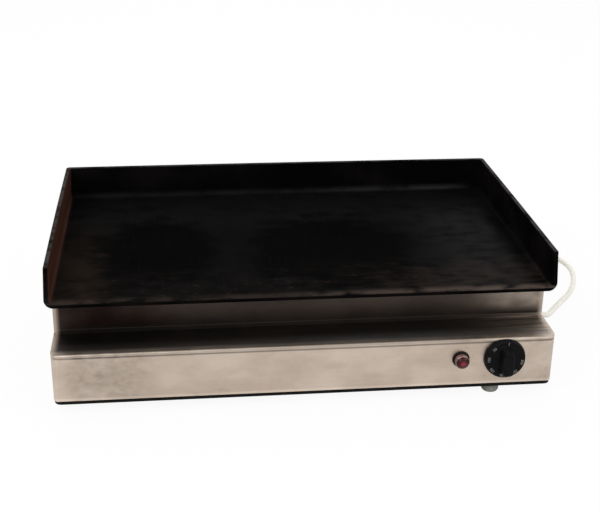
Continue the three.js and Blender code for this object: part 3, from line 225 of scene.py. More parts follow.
def through_points(points, steps):
    """A centripetal Catmull-Rom curve: its speeds follow the square roots of the gaps."""
    ends = np.array([2 * points[0] - points[1], 2 * points[-1] - points[-2]])
    p = np.concatenate([ends[:1], points, ends[1:]])
    gap = np.sqrt(np.linalg.norm(np.diff(p, axis=0), axis=1))[:, None]
    slope = np.diff(p, axis=0) / gap
    middle = (p[2:] - p[:-2]) / (gap[1:] + gap[:-1])
    tangent = slope[:-1] - middle + slope[1:]
    start, end = p[1:-2], p[2:-1]
    leave, arrive = tangent[:-1] * gap[1:-1], tangent[1:] * gap[1:-1]
    t = np.linspace(0, 1, steps, endpoint=False)[:, None, None]
    run = ((2 * t**3 - 3 * t**2 + 1) * start + (t**3 - 2 * t**2 + t) * leave
           + (3 * t**2 - 2 * t**3) * end + (t**3 - t**2) * arrive)
    return np.concatenate([run.transpose(1, 0, 2).reshape(-1, 3), points[-1:]])


def path_length(points):
    """The sum of the distances from point to point."""
    return float(np.linalg.norm(np.diff(points, axis=0), axis=1).sum())


def coil_path(outer, centre_y):
    """The radius falls by one spacing a turn to the middle and grows again, as z climbs a layer."""
    turn = np.linspace(0, COIL_TURNS, int(COIL_TURNS * COIL_STEPS) + 1)
    from_middle = turn - COIL_TURNS / 2
    radius = outer - (COIL_TURNS / 2 - np.abs(from_middle)) * COIL_SPACING
    angle = FULL_TURN / 4 + turn * FULL_TURN
    z = COIL_LIFT + smooth_step(from_middle, -CLIMB_TURNS, CLIMB_TURNS) * COIL_SPACING
    return np.stack([COIL_X + radius * np.cos(angle), centre_y + radius * np.sin(angle), z], 1)


def tail_path(y):
    """From the coil's last turn along +X, rising to the plug's axis, then straight into it."""
    share = np.linspace(0, 1, TAIL_STEPS)
    low = COIL_LIFT + COIL_SPACING
    rise = low + (PLUG_AXIS - low) * smooth_step(share, 0, 1)
    run = np.stack([COIL_X + TAIL_RUN * share, np.full_like(share, y), rise], 1)
    return np.concatenate([run, run[-1:] + [[COIL_LEAD_IN, 0, 0]]])


def cord_path():
    """The whole centreline, with the coil's radius taken from the length that is left for it."""
    free = through_points(np.array([CORD_EXIT, *CORD_ROUTE, COIL_ENTRY]) * MM, ROUTE_STEPS)
    wound = CORD_LENGTH - path_length(free) - path_length(tail_path(0))
    outer = wound / (FULL_TURN * COIL_TURNS) + COIL_TURNS * COIL_SPACING / 4
    centre_y = COIL_REAR - outer
    path = joined(free, coil_path(outer, centre_y), tail_path(centre_y - outer)[1:])
    return path + [0, FRONT_EDGE, 0], outer


cord_line, coil_outer = cord_path()
print(f"cord {path_length(cord_line):.3f} m, coil {2 * coil_outer + 2 * CORD_RADIUS:.3f} m across")

# %% [markdown]
# A tube along a path needs two directions square to it at each point. The cord never stands
# upright, so the level direction square to it always exists, and the third follows from both.

# %% Cord
CORD_SIDES, CORD_SHARP = 20, math.radians(60)


def tube(path, radius):
    """Rings round a path, by cos and sin along its two normals, closed at the ends."""
    along = np.gradient(path, axis=0)
    along /= np.linalg.norm(along, axis=1, keepdims=True)
    level = np.cross(along, [0, 0, 1])
    level /= np.linalg.norm(level, axis=1, keepdims=True)
    rising = np.cross(level, along)
    angle = whole_turn(CORD_SIDES)[:, None]
    spokes = np.cos(angle) * level[:, None] + np.sin(angle) * rising[:, None]
    rings = path[:, None] + radius * spokes
    ends = np.broadcast_to(path[[0, -1], None], (2, CORD_SIDES + 1, 3))
    return np.concatenate([ends[:1], rings, ends[1:]])


cord = add_piece("mains_lead", "casing", tube(cord_line, CORD_RADIUS), sharp=CORD_SHARP)
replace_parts(cord, "mains_cord", "cord_coil")
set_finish(cord, "cream_vinyl")
print(f"{cord.name}: {len(cord.data.polygons)} faces")

# %% [markdown]
# ## Where things are
#
# The sizes below are the CAD model's own, in metres. Heights are above the table, and depths
# run from the tray's front edge to the back. Everything on the front panel is drawn in the
# panel's own directions: right, up, and out of the panel towards the viewer.

# %% Places on the casing
TRAY_WIDTH, TRAY_RIM, TRAY_PLATE, TRAY_BEND = 600 * MM, 50 * MM, 5 * MM, 6 * MM
TRAY_UNDER = 120 * MM
CASING_HALF, CASING_BOTTOM = 294 * MM, 16 * MM
PANEL_FACE = FRONT_EDGE - 32 * MM
DIAL_CENTRE = np.array([232.6 * MM, PANEL_FACE, 51 * MM])
LAMP_CENTRE = np.array([180.3 * MM, PANEL_FACE, 51 * MM])
FRONT_VIEW = np.array([[1, 0, 0], [0, 0, 1], [0, -1, 0]])
LEVEL_VIEW = np.eye(3)


def placed(grid, centre, view=LEVEL_VIEW):
    """Each point's three numbers are steps along the view's own right, up and outward directions."""
    return grid @ view + np.asarray(centre)


def fillet(before, corner, after, radius, steps):
    """An arc tangent to both sides; its centre lies radius / sin(half angle) along the bisector."""
    before, corner, after = (np.asarray(point, float) for point in (before, corner, after))
    back, onward = (side / np.linalg.norm(side) for side in (before - corner, after - corner))
    half = math.acos(np.clip(back @ onward, -1, 1)) / 2
    bisector = (back + onward) / np.linalg.norm(back + onward)
    across = (onward - back) / np.linalg.norm(onward - back)
    angle = np.linspace(-1, 1, steps + 1)[:, None] * (math.pi / 2 - half)
    centre = corner + bisector * radius / math.sin(half)
    return centre - radius * (np.cos(angle) * bisector - np.sin(angle) * across)


def soft_line(corners, steps=6):
    """An open line through corners [a, b, radius], each rounded by its radius, in millimetres."""
    points = [np.array(corner[:2], float) for corner in corners]
    runs = [points[:1]]
    for i in range(1, len(corners) - 1):
        arc = len(corners[i]) > 2
        runs.append(fillet(*points[i - 1:i + 2], corners[i][2], steps) if arc else points[i:i + 1])
    return joined(*runs, points[-1:]) * MM


def lathe(line, sides=64):
    """The line's radius turned about the outward axis: radius cos, radius sin, height."""
    angle = whole_turn(sides)
    radius, height = line[:, 0, None], line[:, 1, None]
    return np.stack([radius * np.cos(angle), radius * np.sin(angle), height + 0 * angle], 2)


def block(low, high):
    """A box as one closed grid: a square section shrunk to a point at both ends."""
    low, high = np.array(low) * MM, np.array(high) * MM
    corner = np.array([[0, 0], [1, 0], [1, 1], [0, 1], [0, 0]])
    section = low[:2] + corner * (high - low)[:2]
    middle = np.broadcast_to((low + high)[:2] / 2, section.shape)
    flat = np.stack([middle, section, section, middle])
    height = np.array([low[2], low[2], high[2], high[2]])[:, None, None] + np.zeros((4, 5, 1))
    return np.concatenate([flat, height], 2)


# %% [markdown]
# ## The tray
#
# The tray is one 5 mm steel plate. Its sides and back are bent up, the two back corners are
# welded and ground round, and the front stays open. In Blender it could be a box with its edges
# bevelled, but the bend, the lean of the sides and the welds are easier to hold as a profile
# that is carried round three sides: across the floor, up the inside, over the top edge and
# down the outside. The floor and the underside are two flat grids that meet its first and last
# rows. Heat has left the plate a little dished and the rims a little bowed.

# %% Tray
TRAY_LEAN = math.tan(math.radians(2.6))
RIM_NOSE = 7 * MM
TOP_EDGE, FLOOR_BAND = 0.9, 26
INSIDE_WELD, OUTSIDE_WELD = 3 * MM, 4 * MM
SIDE_BOW, REAR_BOW, FLOOR_DISH = 0.6 * MM, 1.4 * MM, 0.3 * MM
SIDE_STEPS, REAR_STEPS, WELD_STEPS = 40, 60, 6
BOW_FROM, BOW_FULL = 20 * MM, 10 * MM
STUD_SIDES, STEEL_DENSITY = 16, 7850
BROKEN_ANGLE, PLATE_BREAK, SHEET_BREAK = math.radians(50), 0.5 * MM, 0.25 * MM


def tray_profile():
    """Inset and height of the line from the floor up the inside, over the edge and down outside."""
    plate, rim, bend = (size / MM for size in (TRAY_PLATE, TRAY_RIM, TRAY_BEND))
    line = soft_line([
        (FLOOR_BAND, plate), (plate, plate, bend), (plate, rim, TOP_EDGE), (0, rim, TOP_EDGE),
        (0, 0, bend + plate), (FLOOR_BAND, 0),
    ], steps=8)
    return line[:, 0], line[:, 1]


def rim_rows(inset, height):
    """Each profile point's line round the three sides: a straight, a weld's quarter, and so on."""
    half = TRAY_WIDTH / 2 - inset - TRAY_LEAN * height
    rear = TRAY_DEPTH - inset
    over = np.clip(height - (TRAY_RIM - RIM_NOSE), 0, RIM_NOSE)
    nose = RIM_NOSE - np.sqrt(RIM_NOSE**2 - over**2)
    inside = smooth_step(inset, 0, TRAY_PLATE)
    on_floor = smooth_step(inset, TRAY_PLATE, TRAY_PLATE + TRAY_BEND)
    risen = smooth_step(height, 0, TRAY_PLATE + TRAY_BEND)
    weld = (OUTSIDE_WELD + (INSIDE_WELD - OUTSIDE_WELD) * inside) * (1 - on_floor) * risen
    share = np.linspace(0, 1, SIDE_STEPS)[:-1]
    quarter = np.linspace(0, math.pi / 2, WELD_STEPS + 1)
    across = np.linspace(0, 1, REAR_STEPS)[1:-1]

    def column(value):
        """One row for each profile point."""
        return value[:, None]

    side_y = column(nose) + share * column(rear - weld - nose)
    side_x = column(-half) + 0 * share
    turn_x = column(weld - half) - column(weld) * np.cos(quarter)
    turn_y = column(rear - weld) + column(weld) * np.sin(quarter)
    rear_x = column(weld - half) + across * column(2 * (half - weld))
    rear_y = column(rear) + 0 * across
    x = np.concatenate([side_x, turn_x, rear_x, -turn_x[:, ::-1], -side_x[:, ::-1]], 1)
    y = np.concatenate([side_y, turn_y, rear_y, turn_y[:, ::-1], side_y[:, ::-1]], 1)
    return np.stack([x, y, column(height) + 0 * x], 2)


def plate_grid(edge_row):
    """A flat grid whose left, rear and right edges are the given row of the rims."""
    corner = SIDE_STEPS + WELD_STEPS
    y = np.append(edge_row[:SIDE_STEPS - 1, 1], edge_row[corner, 1])
    x = np.concatenate([edge_row[:1, 0], edge_row[corner:-corner, 0], edge_row[-1:, 0]])
    grid = np.stack(np.meshgrid(x, y), 2)
    return np.concatenate([grid, np.full(grid.shape[:2] + (1,), edge_row[0, 2])], 2)


def heat_set(points):
    """Rims bowed out by 4 s (1 - s) of their length, and a dish of two sines in the floor."""
    x, y, z = np.moveaxis(points, -1, 0)
    along, across = np.clip(y / TRAY_DEPTH, 0, 1), np.clip(x / TRAY_WIDTH + 0.5, 0, 1)
    rise = np.clip(z / TRAY_RIM, 0, 1)
    at_side = smooth_step(np.abs(x), TRAY_WIDTH / 2 - BOW_FROM, TRAY_WIDTH / 2 - BOW_FULL)
    at_rear = smooth_step(y, TRAY_DEPTH - BOW_FROM, TRAY_DEPTH - BOW_FULL)
    bowed_x = x + np.sign(x) * SIDE_BOW * rise * at_side * 4 * along * (1 - along)
    bowed_y = y + REAR_BOW * rise * at_rear * 4 * across * (1 - across)
    dish = FLOOR_DISH * np.sin(math.pi * along) * np.sin(math.pi * across) * (1 - rise)
    return np.stack([bowed_x, bowed_y, z - dish], -1)


def tray_grids():
    """The rims' rows, the two flat grids, and strips that close the cut edge at the front."""
    inset, height = tray_profile()
    rims = rim_rows(inset, height)
    floor_grid, under_grid = plate_grid(rims[0]), plate_grid(rims[-1])
    half = len(inset) // 2
    left = np.stack([rims[:half, 0], rims[::-1, 0][:half]])
    right = np.stack([rims[:half, -1], rims[::-1, -1][:half]])
    front = np.stack([floor_grid[0], under_grid[0]])
    place = np.array([0, FRONT_EDGE, TRAY_UNDER])
    grids = (rims, floor_grid[:, ::-1], under_grid, left[:, ::-1], right, front)
    return [heat_set(grid) + place for grid in grids]


TRAY_STUDS = [(side * 286.4, y, 9.5) for side in (-1, 1) for y in (83, 280)]
CLAMP_STUDS = [(x, y, 16.5) for x in (-150, 110) for y in (132.5, 227.5)]


def tray_stud(x, y, length):
    """A plain welded stud that hangs from the plate."""
    line = soft_line([(0, -length), (2.5, -length, 0.4), (2.5, 0.5), (0, 0.5)], steps=2)
    return placed(lathe(line, STUD_SIDES), (x * MM, FRONT_EDGE + y * MM, TRAY_UNDER))


def soften_edges(piece, width):
    """A narrow bevel on edges sharper than 50 degrees, shaded so that the flats stay flat."""
    bevel = piece.modifiers.new("broken_edges", "BEVEL")
    bevel.width, bevel.segments = width, 2
    bevel.limit_method, bevel.angle_limit = "ANGLE", BROKEN_ANGLE
    bevel.harden_normals = True


tray = add_piece("tray_plate", "casing", *tray_grids())
soften_edges(tray, PLATE_BREAK)
studs = add_piece("tray_studs", "casing", *(tray_stud(*stud) for stud in TRAY_STUDS + CLAMP_STUDS))
for piece in (tray, studs):
    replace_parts(piece, "griddle_tray")
    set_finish(piece, "black_steel")
tray_mass = shell_volume(*skin(*tray_grids())) * STEEL_DENSITY
print(f"{tray.name}: {len(tray.data.polygons)} faces, {tray_mass:.2f} kg of steel")

# %% [markdown]
# ## The casing, its rear panel and the base pan
#
# The casing is folded from thin stainless sheet: a low box in front, a ledge, and a skirt that
# goes up to the tray. The CAD nodes already have these shapes, with their flanges, louvres and
# vent slots, so they could stay as they are. Only their shading is faceted and their edges are
# perfectly sharp. A merged copy keeps the shape and is shaded smooth across the bends, and the
# casing gets the fine broken edge that catches the light on real sheet.

# %% Fine copies of folded sheet
def fine_copy(name, node):
    """A merged copy of a CAD node's triangles, smooth across its bends."""
    mesh = frame["nodes"][node].data
    corners = np.empty(len(mesh.vertices) * 3)
    numbers = np.empty(len(mesh.loops), dtype=np.int64)
    mesh.vertices.foreach_get("co", corners)
    mesh.loops.foreach_get("vertex_index", numbers)
    points, triangles = merged(corners.reshape(-1, 3), numbers.reshape(-1, 3), MERGE * 2)
    whole = (triangles != np.roll(triangles, -1, axis=1)).all(1)
    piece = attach(in_scene(name, mesh_of(name, points, triangles[whole])), "casing")
    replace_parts(piece, node)
    return piece


casing = fine_copy("folded_casing", "casing_shell")
soften_edges(casing, SHEET_BREAK)
rear_panel = fine_copy("louvred_panel", "rear_panel")
base_pan = fine_copy("vented_pan", "base_pan")
# The pan's black rim below the front also stands in for the shadow under the casing: partly black
# paint, partly painted shade.
sheet_finishes = ((casing, "stainless"), (rear_panel, "stainless"), (base_pan, "black_paint"))
for piece, finish_name in sheet_finishes:
    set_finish(piece, finish_name)
    print(f"{piece.name}: {len(piece.data.polygons)} faces")

# %% [markdown]
# ## The thermostat dial
#
# The dial is one black moulding: a flanged disc with a flat face, a finger grip across it and a
# hollow back. Two cylinders and a box would look like a toy. Here it is one stack of closed
# outlines instead, each at its own height. They start as circles, turn into the grip's waisted
# bar where the face meets it, and close over the top, so the fillet at the grip's foot comes by
# itself.

# %% Dial
KNOB_SIDES = 144
KNOB_BACK, KNOB_FACE, KNOB_TOP = 1.0, 7.5, 22.2
KNOB_RADIUS, KNOB_FACE_RADIUS, KNOB_WALL, KNOB_RECESS = 24.8, 23.4, 2.2, 4.5
GRIP_BASE, GRIP_FRONT = (20.0, 35.0), (15.5, 30.0)
GRIP_CORNER, GRIP_WAIST = 0.62, 0.16
GRIP_FOOT, GRIP_EDGE, GRIP_STEPS = 1.6, 2.0, 7
GRIP_CAP = [(0.8, 0.1), (0.5, 0.2), (0, 0.25)]  # share of the top's outline, rise above its edge


def grip_outline(width, length):
    """A rounded bar by powers of cos and sin, its middle narrower by the waist's share."""
    angle = whole_turn(KNOB_SIDES)
    along = np.sign(np.sin(angle)) * np.abs(np.sin(angle)) ** GRIP_CORNER
    across = np.sign(np.cos(angle)) * np.abs(np.cos(angle)) ** GRIP_CORNER
    across = across * (1 - GRIP_WAIST * (1 - along**2))
    return np.stack([across * width / 2, along * length / 2], 1)


def circle_outline(radius):
    """Radius times cos and sin, starting on the right like the grip's outline."""
    angle = whole_turn(KNOB_SIDES)
    return radius * np.stack([np.cos(angle), np.sin(angle)], 1)


def stacked(outlines, heights):
    """Closed outlines, each lifted to its height, in metres."""
    outlines = np.stack(outlines)
    height = np.asarray(heights, float)[:, None, None] + np.zeros(outlines.shape[:2] + (1,))
    return np.concatenate([outlines, height], 2) * MM


def knob_grid():
    """Recess, rim and face as circles, then the grip's foot, sides and rounded top."""
    inner, recess = KNOB_RADIUS - KNOB_WALL, KNOB_BACK + KNOB_RECESS
    disc = soft_line([
        (0, recess), (inner, recess, 0.6), (inner, KNOB_BACK, 0.3), (KNOB_RADIUS, KNOB_BACK, 0.4),
        (KNOB_RADIUS, KNOB_BACK + 1.4, 0.8), (KNOB_FACE_RADIUS, KNOB_FACE, 1.0),
        (KNOB_FACE_RADIUS - 2.2, KNOB_FACE),
    ]) / MM
    turn = np.linspace(0, math.pi / 2, GRIP_STEPS)
    foot_grow, edge_shrink = GRIP_FOOT * (1 - np.sin(turn)), GRIP_EDGE * (1 - np.cos(turn))
    foot_height = KNOB_FACE + GRIP_FOOT * (1 - np.cos(turn))
    edge_height = KNOB_TOP - GRIP_EDGE * (1 - np.sin(turn))
    base, front = np.array(GRIP_BASE), np.array(GRIP_FRONT)
    outlines = [circle_outline(radius) for radius in disc[:, 0]]
    outlines += [grip_outline(*(base + 2 * grow)) for grow in foot_grow]
    outlines += [grip_outline(*(front - 2 * shrink)) for shrink in edge_shrink]
    outlines += [grip_outline(*(front - 2 * GRIP_EDGE)) * share for share, _ in GRIP_CAP]
    cap_height = [KNOB_TOP + rise for _, rise in GRIP_CAP]
    return stacked(outlines, [*disc[:, 1], *foot_height, *edge_height, *cap_height])


TURNED_SHARP = math.radians(50)
knob = add_piece("dial_knob", "dial", placed(knob_grid(), DIAL_CENTRE, FRONT_VIEW), sharp=TURNED_SHARP)
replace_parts(knob, "thermostat_knob")
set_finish(knob, "black_moulding")
print(f"{knob.name}: {len(knob.data.polygons)} faces")

# %% [markdown]
# The temperatures are printed on the disc between the grip and the rim, and a short line marks
# off. Each number could be a text object that is turned in place. The finished pieces have to
# lie unturned at the origin, so each text is made a mesh first and its points are then carried
# to the dial as an array.

# %% Dial numbers
NUMBERS = {50: 135, 100: 178, 150: 221, 200: 264, 250: 307, 300: 350}
NUMBER_HEIGHT, NUMBER_RADIUS, INK = 3.3, 20.1, 0.08
OFF_MARK_ANGLE, OFF_MARK = 84, (19.2, 23.0, 0.55)
HALF_THICK = 0.5


def spun(points, degrees):
    """Points turned about the outward axis."""
    turn = math.radians(degrees)
    cos, sin = math.cos(turn), math.sin(turn)
    return points @ np.array([[cos, sin, 0], [-sin, cos, 0], [0, 0, 1]])


def text_points(words, height):
    """The flat mesh of a text, centred, its capitals as high as asked, in millimetres."""
    curve = bpy.data.curves.new("number", "FONT")
    curve.body, curve.align_x, curve.align_y = words, "CENTER", "CENTER"
    curve.extrude, curve.resolution_u = HALF_THICK, 3
    holder = in_scene("number", curve)
    mesh = bpy.data.meshes.new_from_object(holder)
    bpy.data.objects.remove(holder)
    points = np.empty(len(mesh.vertices) * 3)
    mesh.vertices.foreach_get("co", points)
    points = points.reshape(-1, 3)
    points[:, :2] *= height / np.ptp(points[:, 1])
    points[:, 2] = (points[:, 2] + HALF_THICK) * INK
    return mesh, points


def ink_number(words, angle, tilt):
    """A number on the dial's face, its foot turned towards the centre by the tilt."""
    mesh, points = text_points(words, NUMBER_HEIGHT)
    place = math.radians(angle)
    turned = spun(points, tilt)
    turned += [NUMBER_RADIUS * math.cos(place), NUMBER_RADIUS * math.sin(place), KNOB_FACE]
    points = placed(turned * MM, DIAL_CENTRE, FRONT_VIEW)
    mesh.vertices.foreach_set("co", points.ravel())
    mesh.update()
    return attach(in_scene(f"dial_number_{words}", mesh), "dial")


def off_mark():
    """A thin printed bar along the radius."""
    low, high, width = OFF_MARK
    bar = block((low, -width / 2, KNOB_FACE), (high, width / 2, KNOB_FACE + INK))
    return placed(spun(bar, OFF_MARK_ANGLE), DIAL_CENTRE, FRONT_VIEW)


dial_ink = [ink_number(str(number), angle, angle - 90) for number, angle in NUMBERS.items()]
dial_ink.append(add_piece("dial_off_mark", "dial", off_mark()))
for mark in dial_ink:
    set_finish(mark, "pale_moulding")
print(f"{len(dial_ink)} printed marks on the dial")

# %% [markdown]
# ## The pilot lamp
#
# A black washer, a chromed bezel and a red plastic lens are all turned parts, so each is a line
# of radius and height that is spun round the lamp's axis. The lens has a shallow dome over a
# straight rim.

# %% Pilot lamp
BEZEL_SEAT, BEZEL_FRONT = 1.6, 10.0
LAMP_SHARP = math.radians(40)
gasket_line = soft_line([
    (6.3, 0.3), (10.3, 0.3, 0.3), (10.3, 1.3, 0.4), (6.3, 1.3), (6.3, 0.3),
], steps=4)
bezel_line = soft_line([
    (0, -23.2), (6.0, -23.2, 0.3), (6.0, BEZEL_SEAT), (8.6, BEZEL_SEAT, 0.3),
    (8.6, BEZEL_FRONT - 1.6, 1.2), (7.9, BEZEL_FRONT, 0.35), (7.4, BEZEL_FRONT, 0.15),
    (7.4, BEZEL_FRONT - 4, 0.4), (0, BEZEL_FRONT - 4),
])
lens_line = soft_line([
    (0, 6.3), (7.1, 6.3, 0.3), (7.1, 11.0, 0.8), (5.6, 12.3, 3.0), (3.4, 13.4, 5.0), (0, 13.8),
])
lamp_tabs = [block((-2.4, middle - 0.4, -28.2), (2.4, middle + 0.4, -22.7)) for middle in (-4.5, 4.5)]


def lamp_piece(name, node, finish_name, *grids):
    """A part of the lamp, set on the panel in place of its node."""
    on_panel = [placed(grid, LAMP_CENTRE, FRONT_VIEW) for grid in grids]
    piece = add_piece(name, "casing", *on_panel, sharp=LAMP_SHARP)
    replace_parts(piece, node)
    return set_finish(piece, finish_name)


gasket = lamp_piece("lamp_washer", "pilot_lamp_gasket", "black_rubber", lathe(gasket_line))
bezel = lamp_piece("lamp_bezel", "pilot_lamp_bezel", "chrome", lathe(bezel_line), *lamp_tabs)
lens = lamp_piece("lamp_lens", "pilot_lamp_lens", "red_lens", lathe(lens_line))
print(f"lamp: {sum(len(piece.data.polygons) for piece in (gasket, bezel, lens))} faces")

# %% [markdown]
# ## Feet, screws and the cord's sleeve
#
# More turned parts. A foot has a tapered toe with a dimple for its stem, which is pushed through
# the pan and held by a barb. A screw's cross recess is cut by making its crown's height depend
# on how near a point lies to the cross. The sleeve round the cord narrows towards its tip and
# has grooves that let it bend.

# %% Feet
ROUND_SIDES = 48
FOOT_PLACES = {
    "foot_front_left": (-223, 20), "foot_front_right": (223, -16),
    "foot_rear_left": (-223, 294), "foot_rear_right": (223, 294),
}
foot_line = soft_line([
    (0, 3.0), (3.4, 3.0, 0.4), (3.4, 0, 0.5), (8.9, 0, 0.7), (10.3, 2.4, 0.8), (10.3, 14.4, 0.8),
    (3.6, 14.4, 0.2), (3.6, 16.0, 0.1), (4.8, 16.0, 0.2), (2.2, 19.4, 0.6), (0, 19.4),
])
feet = []
for node, (x, y) in FOOT_PLACES.items():
    foot_grid = placed(lathe(foot_line, ROUND_SIDES), (x * MM, FRONT_EDGE + y * MM, 0))
    foot = add_piece(f"rubber_{node}", "casing", foot_grid)
    feet.append(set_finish(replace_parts(foot, node), "grey_rubber"))
print(f"{len(feet)} feet of {len(feet[0].data.polygons)} faces")

# %% Screws
SCREW_SIDES, SCREW_HEAD, SCREW_CROWN, SCREW_SHANK = 64, 3.5, 2.2, 1.7
SCREW_EDGE, CROWN_ARC, CROWN_STEPS = 0.7, 0.96, 30
CROSS_ARM, CROSS_HALF, CROSS_DEPTH, CROSS_END = 1.9, 0.42, 1.2, 0.3


def screw_grid():
    """A shank under a head whose crown is a flat arc, sunk near the lines of a cross."""
    share = np.linspace(1, 0, CROWN_STEPS)
    rise = SCREW_EDGE + (SCREW_CROWN - SCREW_EDGE) * np.sqrt(1 - share**2 * CROWN_ARC)
    crown = np.stack([SCREW_HEAD * share, rise], 1) * MM
    shank = soft_line([
        (0, -5), (SCREW_SHANK, -5, 0.4), (SCREW_SHANK, 0), (SCREW_HEAD, 0, 0.2), (SCREW_HEAD, 0.6),
    ], steps=3)
    grid = lathe(joined(shank, crown), SCREW_SIDES)
    x, y, z = np.moveaxis(grid, -1, 0)
    wide = CROSS_HALF * MM
    near = np.minimum(np.abs(x), np.abs(y))
    reach = 1 - smooth_step(np.hypot(x, y), (CROSS_ARM - CROSS_END) * MM, CROSS_ARM * MM)
    sunk = (1 - smooth_step(near, wide * 0.8, wide * 1.3)) * reach * (z > SCREW_EDGE * MM)
    return np.stack([x, y, z - sunk * CROSS_DEPTH * MM], -1)


REAR_VIEW = np.array([[-1, 0, 0], [0, 0, 1], [0, 1, 0]])
UNDER_VIEW = np.array([[1, 0, 0], [0, -1, 0], [0, 0, -1]])


def head_seat(node, axis, side):
    """The middle of a screw's node, moved along the axis to the underside of its head."""
    low, high = (np.array(corner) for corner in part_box(node))
    centre = (low + high) / 2
    centre[axis] = high[axis] - SCREW_CROWN * MM if side > 0 else low[axis] + SCREW_CROWN * MM
    return centre


screws = []
for number in range(1, 5):
    for kind, view, axis, side in (("rear", REAR_VIEW, 1, 1), ("pan", UNDER_VIEW, 2, -1)):
        node = f"{kind}_screw_{number}"
        seated = placed(screw_grid(), head_seat(node, axis, side), view)
        screw = add_piece(f"cross_{node}", "casing", seated)
        screws.append(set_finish(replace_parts(screw, node), "zinc_plate"))
print(f"{len(screws)} screws of {len(screws[0].data.polygons)} faces")

# %% Sleeve
RIGHT_VIEW = np.array([[0, 1, 0], [0, 0, 1], [1, 0, 0]])
SLEEVE_LENGTH, SLEEVE_FLANGE, SLEEVE_RADIUS, SLEEVE_TAPER = 24.0, 3.3, 6.6, 1.6
SLEEVE_GROOVES, GROOVE_DEPTH, GROOVES_END, SLEEVE_STEPS = 5, 0.7, 0.92, 80
CORD_GATE = np.array([CASING_HALF, FRONT_EDGE + 122 * MM, 28 * MM])


def sleeve_line():
    """A flange, then a taper with a groove at each positive half of a cosine, and a rounded tip."""
    height = np.linspace(SLEEVE_FLANGE + 0.3, SLEEVE_LENGTH - 0.9, SLEEVE_STEPS)
    share = (height - SLEEVE_FLANGE) / (SLEEVE_LENGTH - SLEEVE_FLANGE)
    groove = np.maximum(np.cos(share * SLEEVE_GROOVES * FULL_TURN + math.pi), 0) ** 2
    radius = SLEEVE_RADIUS - SLEEVE_TAPER * share - GROOVE_DEPTH * groove * (share < GROOVES_END)
    taper = np.stack([radius, height], 1) * MM
    lip = soft_line([
        (0, -4.1), (7.0, -4.1, 0.4), (8.6, -1.5, 0.2), (7.0, -1.5), (7.0, 0.3), (9.0, 0.3, 0.3),
        (9.0, SLEEVE_FLANGE, 0.8), (6.75, SLEEVE_FLANGE),
    ], steps=4)
    tip = soft_line([
        (radius[-1], SLEEVE_LENGTH - 0.8), (4.9, SLEEVE_LENGTH, 0.5), (0, SLEEVE_LENGTH),
    ], steps=4)
    return joined(lip, taper, tip)


sleeve_grid = placed(lathe(sleeve_line(), ROUND_SIDES), CORD_GATE, RIGHT_VIEW)
sleeve = add_piece("cord_sleeve", "casing", sleeve_grid, sharp=TURNED_SHARP)
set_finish(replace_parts(sleeve, "strain_relief"), "black_rubber")
print(f"{sleeve.name}: {len(sleeve.data.polygons)} faces")

# %% [markdown]
# ## The plug and the tie
#
# The plug is a soft moulding that swells from the cord to a finger grip and ends in a round
# face with a notch on each side. Its outlines are ellipses whose width dips at the notches; the
# pins are turned. A flat tie holds the coil.

# %% Plug
PLUG_SIDES, PLUG_FACE, PLUG_LENGTH = 96, 18.4, 57.0
PLUG_GAP, PIN_OFFSET, PIN_SIDES = 0.3 * MM, 9.5 * MM, 40
NOTCH_DEPTH, NOTCH_WIDTH, RIB_DEPTH, RIB_PITCH = 3.2, 0.17, 0.45, 2.6
PLUG_STATIONS = [  # along, half height, half width as a share of it
    (0, 4.4, 1), (1.0, 4.75, 1), (18, 6.4, 1), (20.5, 8.6, 0.92), (22, 12.4, 0.82),
    (26, 14.1, 0.82), (32, 14.5, 0.82), (38, 14.0, 0.82), (41, 13.4, 0.84), (43.6, 15.6, 0.94),
    (45, 18.1, 1), (46.2, PLUG_FACE, 1), (PLUG_LENGTH - 1.4, PLUG_FACE, 1),
    (PLUG_LENGTH - 0.4, 18.0, 1), (PLUG_LENGTH, 17.2, 1),
]


def plug_grid():
    """Ellipses on a smooth line through the stations; notches by exp(-t^4), ribs by a cosine."""
    along = through_points(np.array(PLUG_STATIONS, float), 4)
    angle = whole_turn(PLUG_SIDES)
    z, tall, wide = (column[:, None] for column in along.T)
    depth = smooth_step(z, PLUG_LENGTH - 15, PLUG_LENGTH - 12.5) * (tall > PLUG_FACE * 0.9)
    notch = NOTCH_DEPTH * depth * np.exp(-((np.abs(np.sin(angle)) / NOTCH_WIDTH) ** 4))
    on_grip = smooth_step(z, 26, 27) * (1 - smooth_step(z, 37, 38))
    ribs = RIB_DEPTH * np.maximum(np.cos(z * FULL_TURN / RIB_PITCH), 0) * on_grip
    x = (tall * wide - notch - ribs) * np.cos(angle)
    y = (tall - ribs) * np.sin(angle)
    body = np.stack([x, y, z + 0 * angle], 2)
    face = [body[-1] * [share, share, 1] for share in (0.9, 0.5, 0)]
    back = body[:1] * [0, 0, 1]
    return np.concatenate([back, body, face]) * MM


PLUG_VIEW = np.array([[0, 0, -1], [0, 1, 0], [1, 0, 0]])
plug_place = cord_line[-1] + [PLUG_GAP, 0, 0]
plug = add_piece("mains_plug", "casing", placed(plug_grid(), plug_place, PLUG_VIEW), sharp=TURNED_SHARP)
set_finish(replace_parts(plug, "plug_body"), "cream_vinyl")
pin_line = soft_line([(0, 49), (2.4, 49), (2.4, 76, 1.0), (0, 76)])
for number, side in ((1, -1), (2, 1)):
    centre = plug_place + [0, 0, -side * PIN_OFFSET]
    pin_grid = placed(lathe(pin_line, PIN_SIDES), centre, PLUG_VIEW)
    pin = add_piece(f"round_pin_{number}", "casing", pin_grid)
    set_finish(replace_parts(pin, f"plug_pin_{number}"), "zinc_plate")
tie = fine_copy("coil_tie", "cord_tie")
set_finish(tie, "black_rubber")
print(f"{plug.name}: {len(plug.data.polygons)} faces")
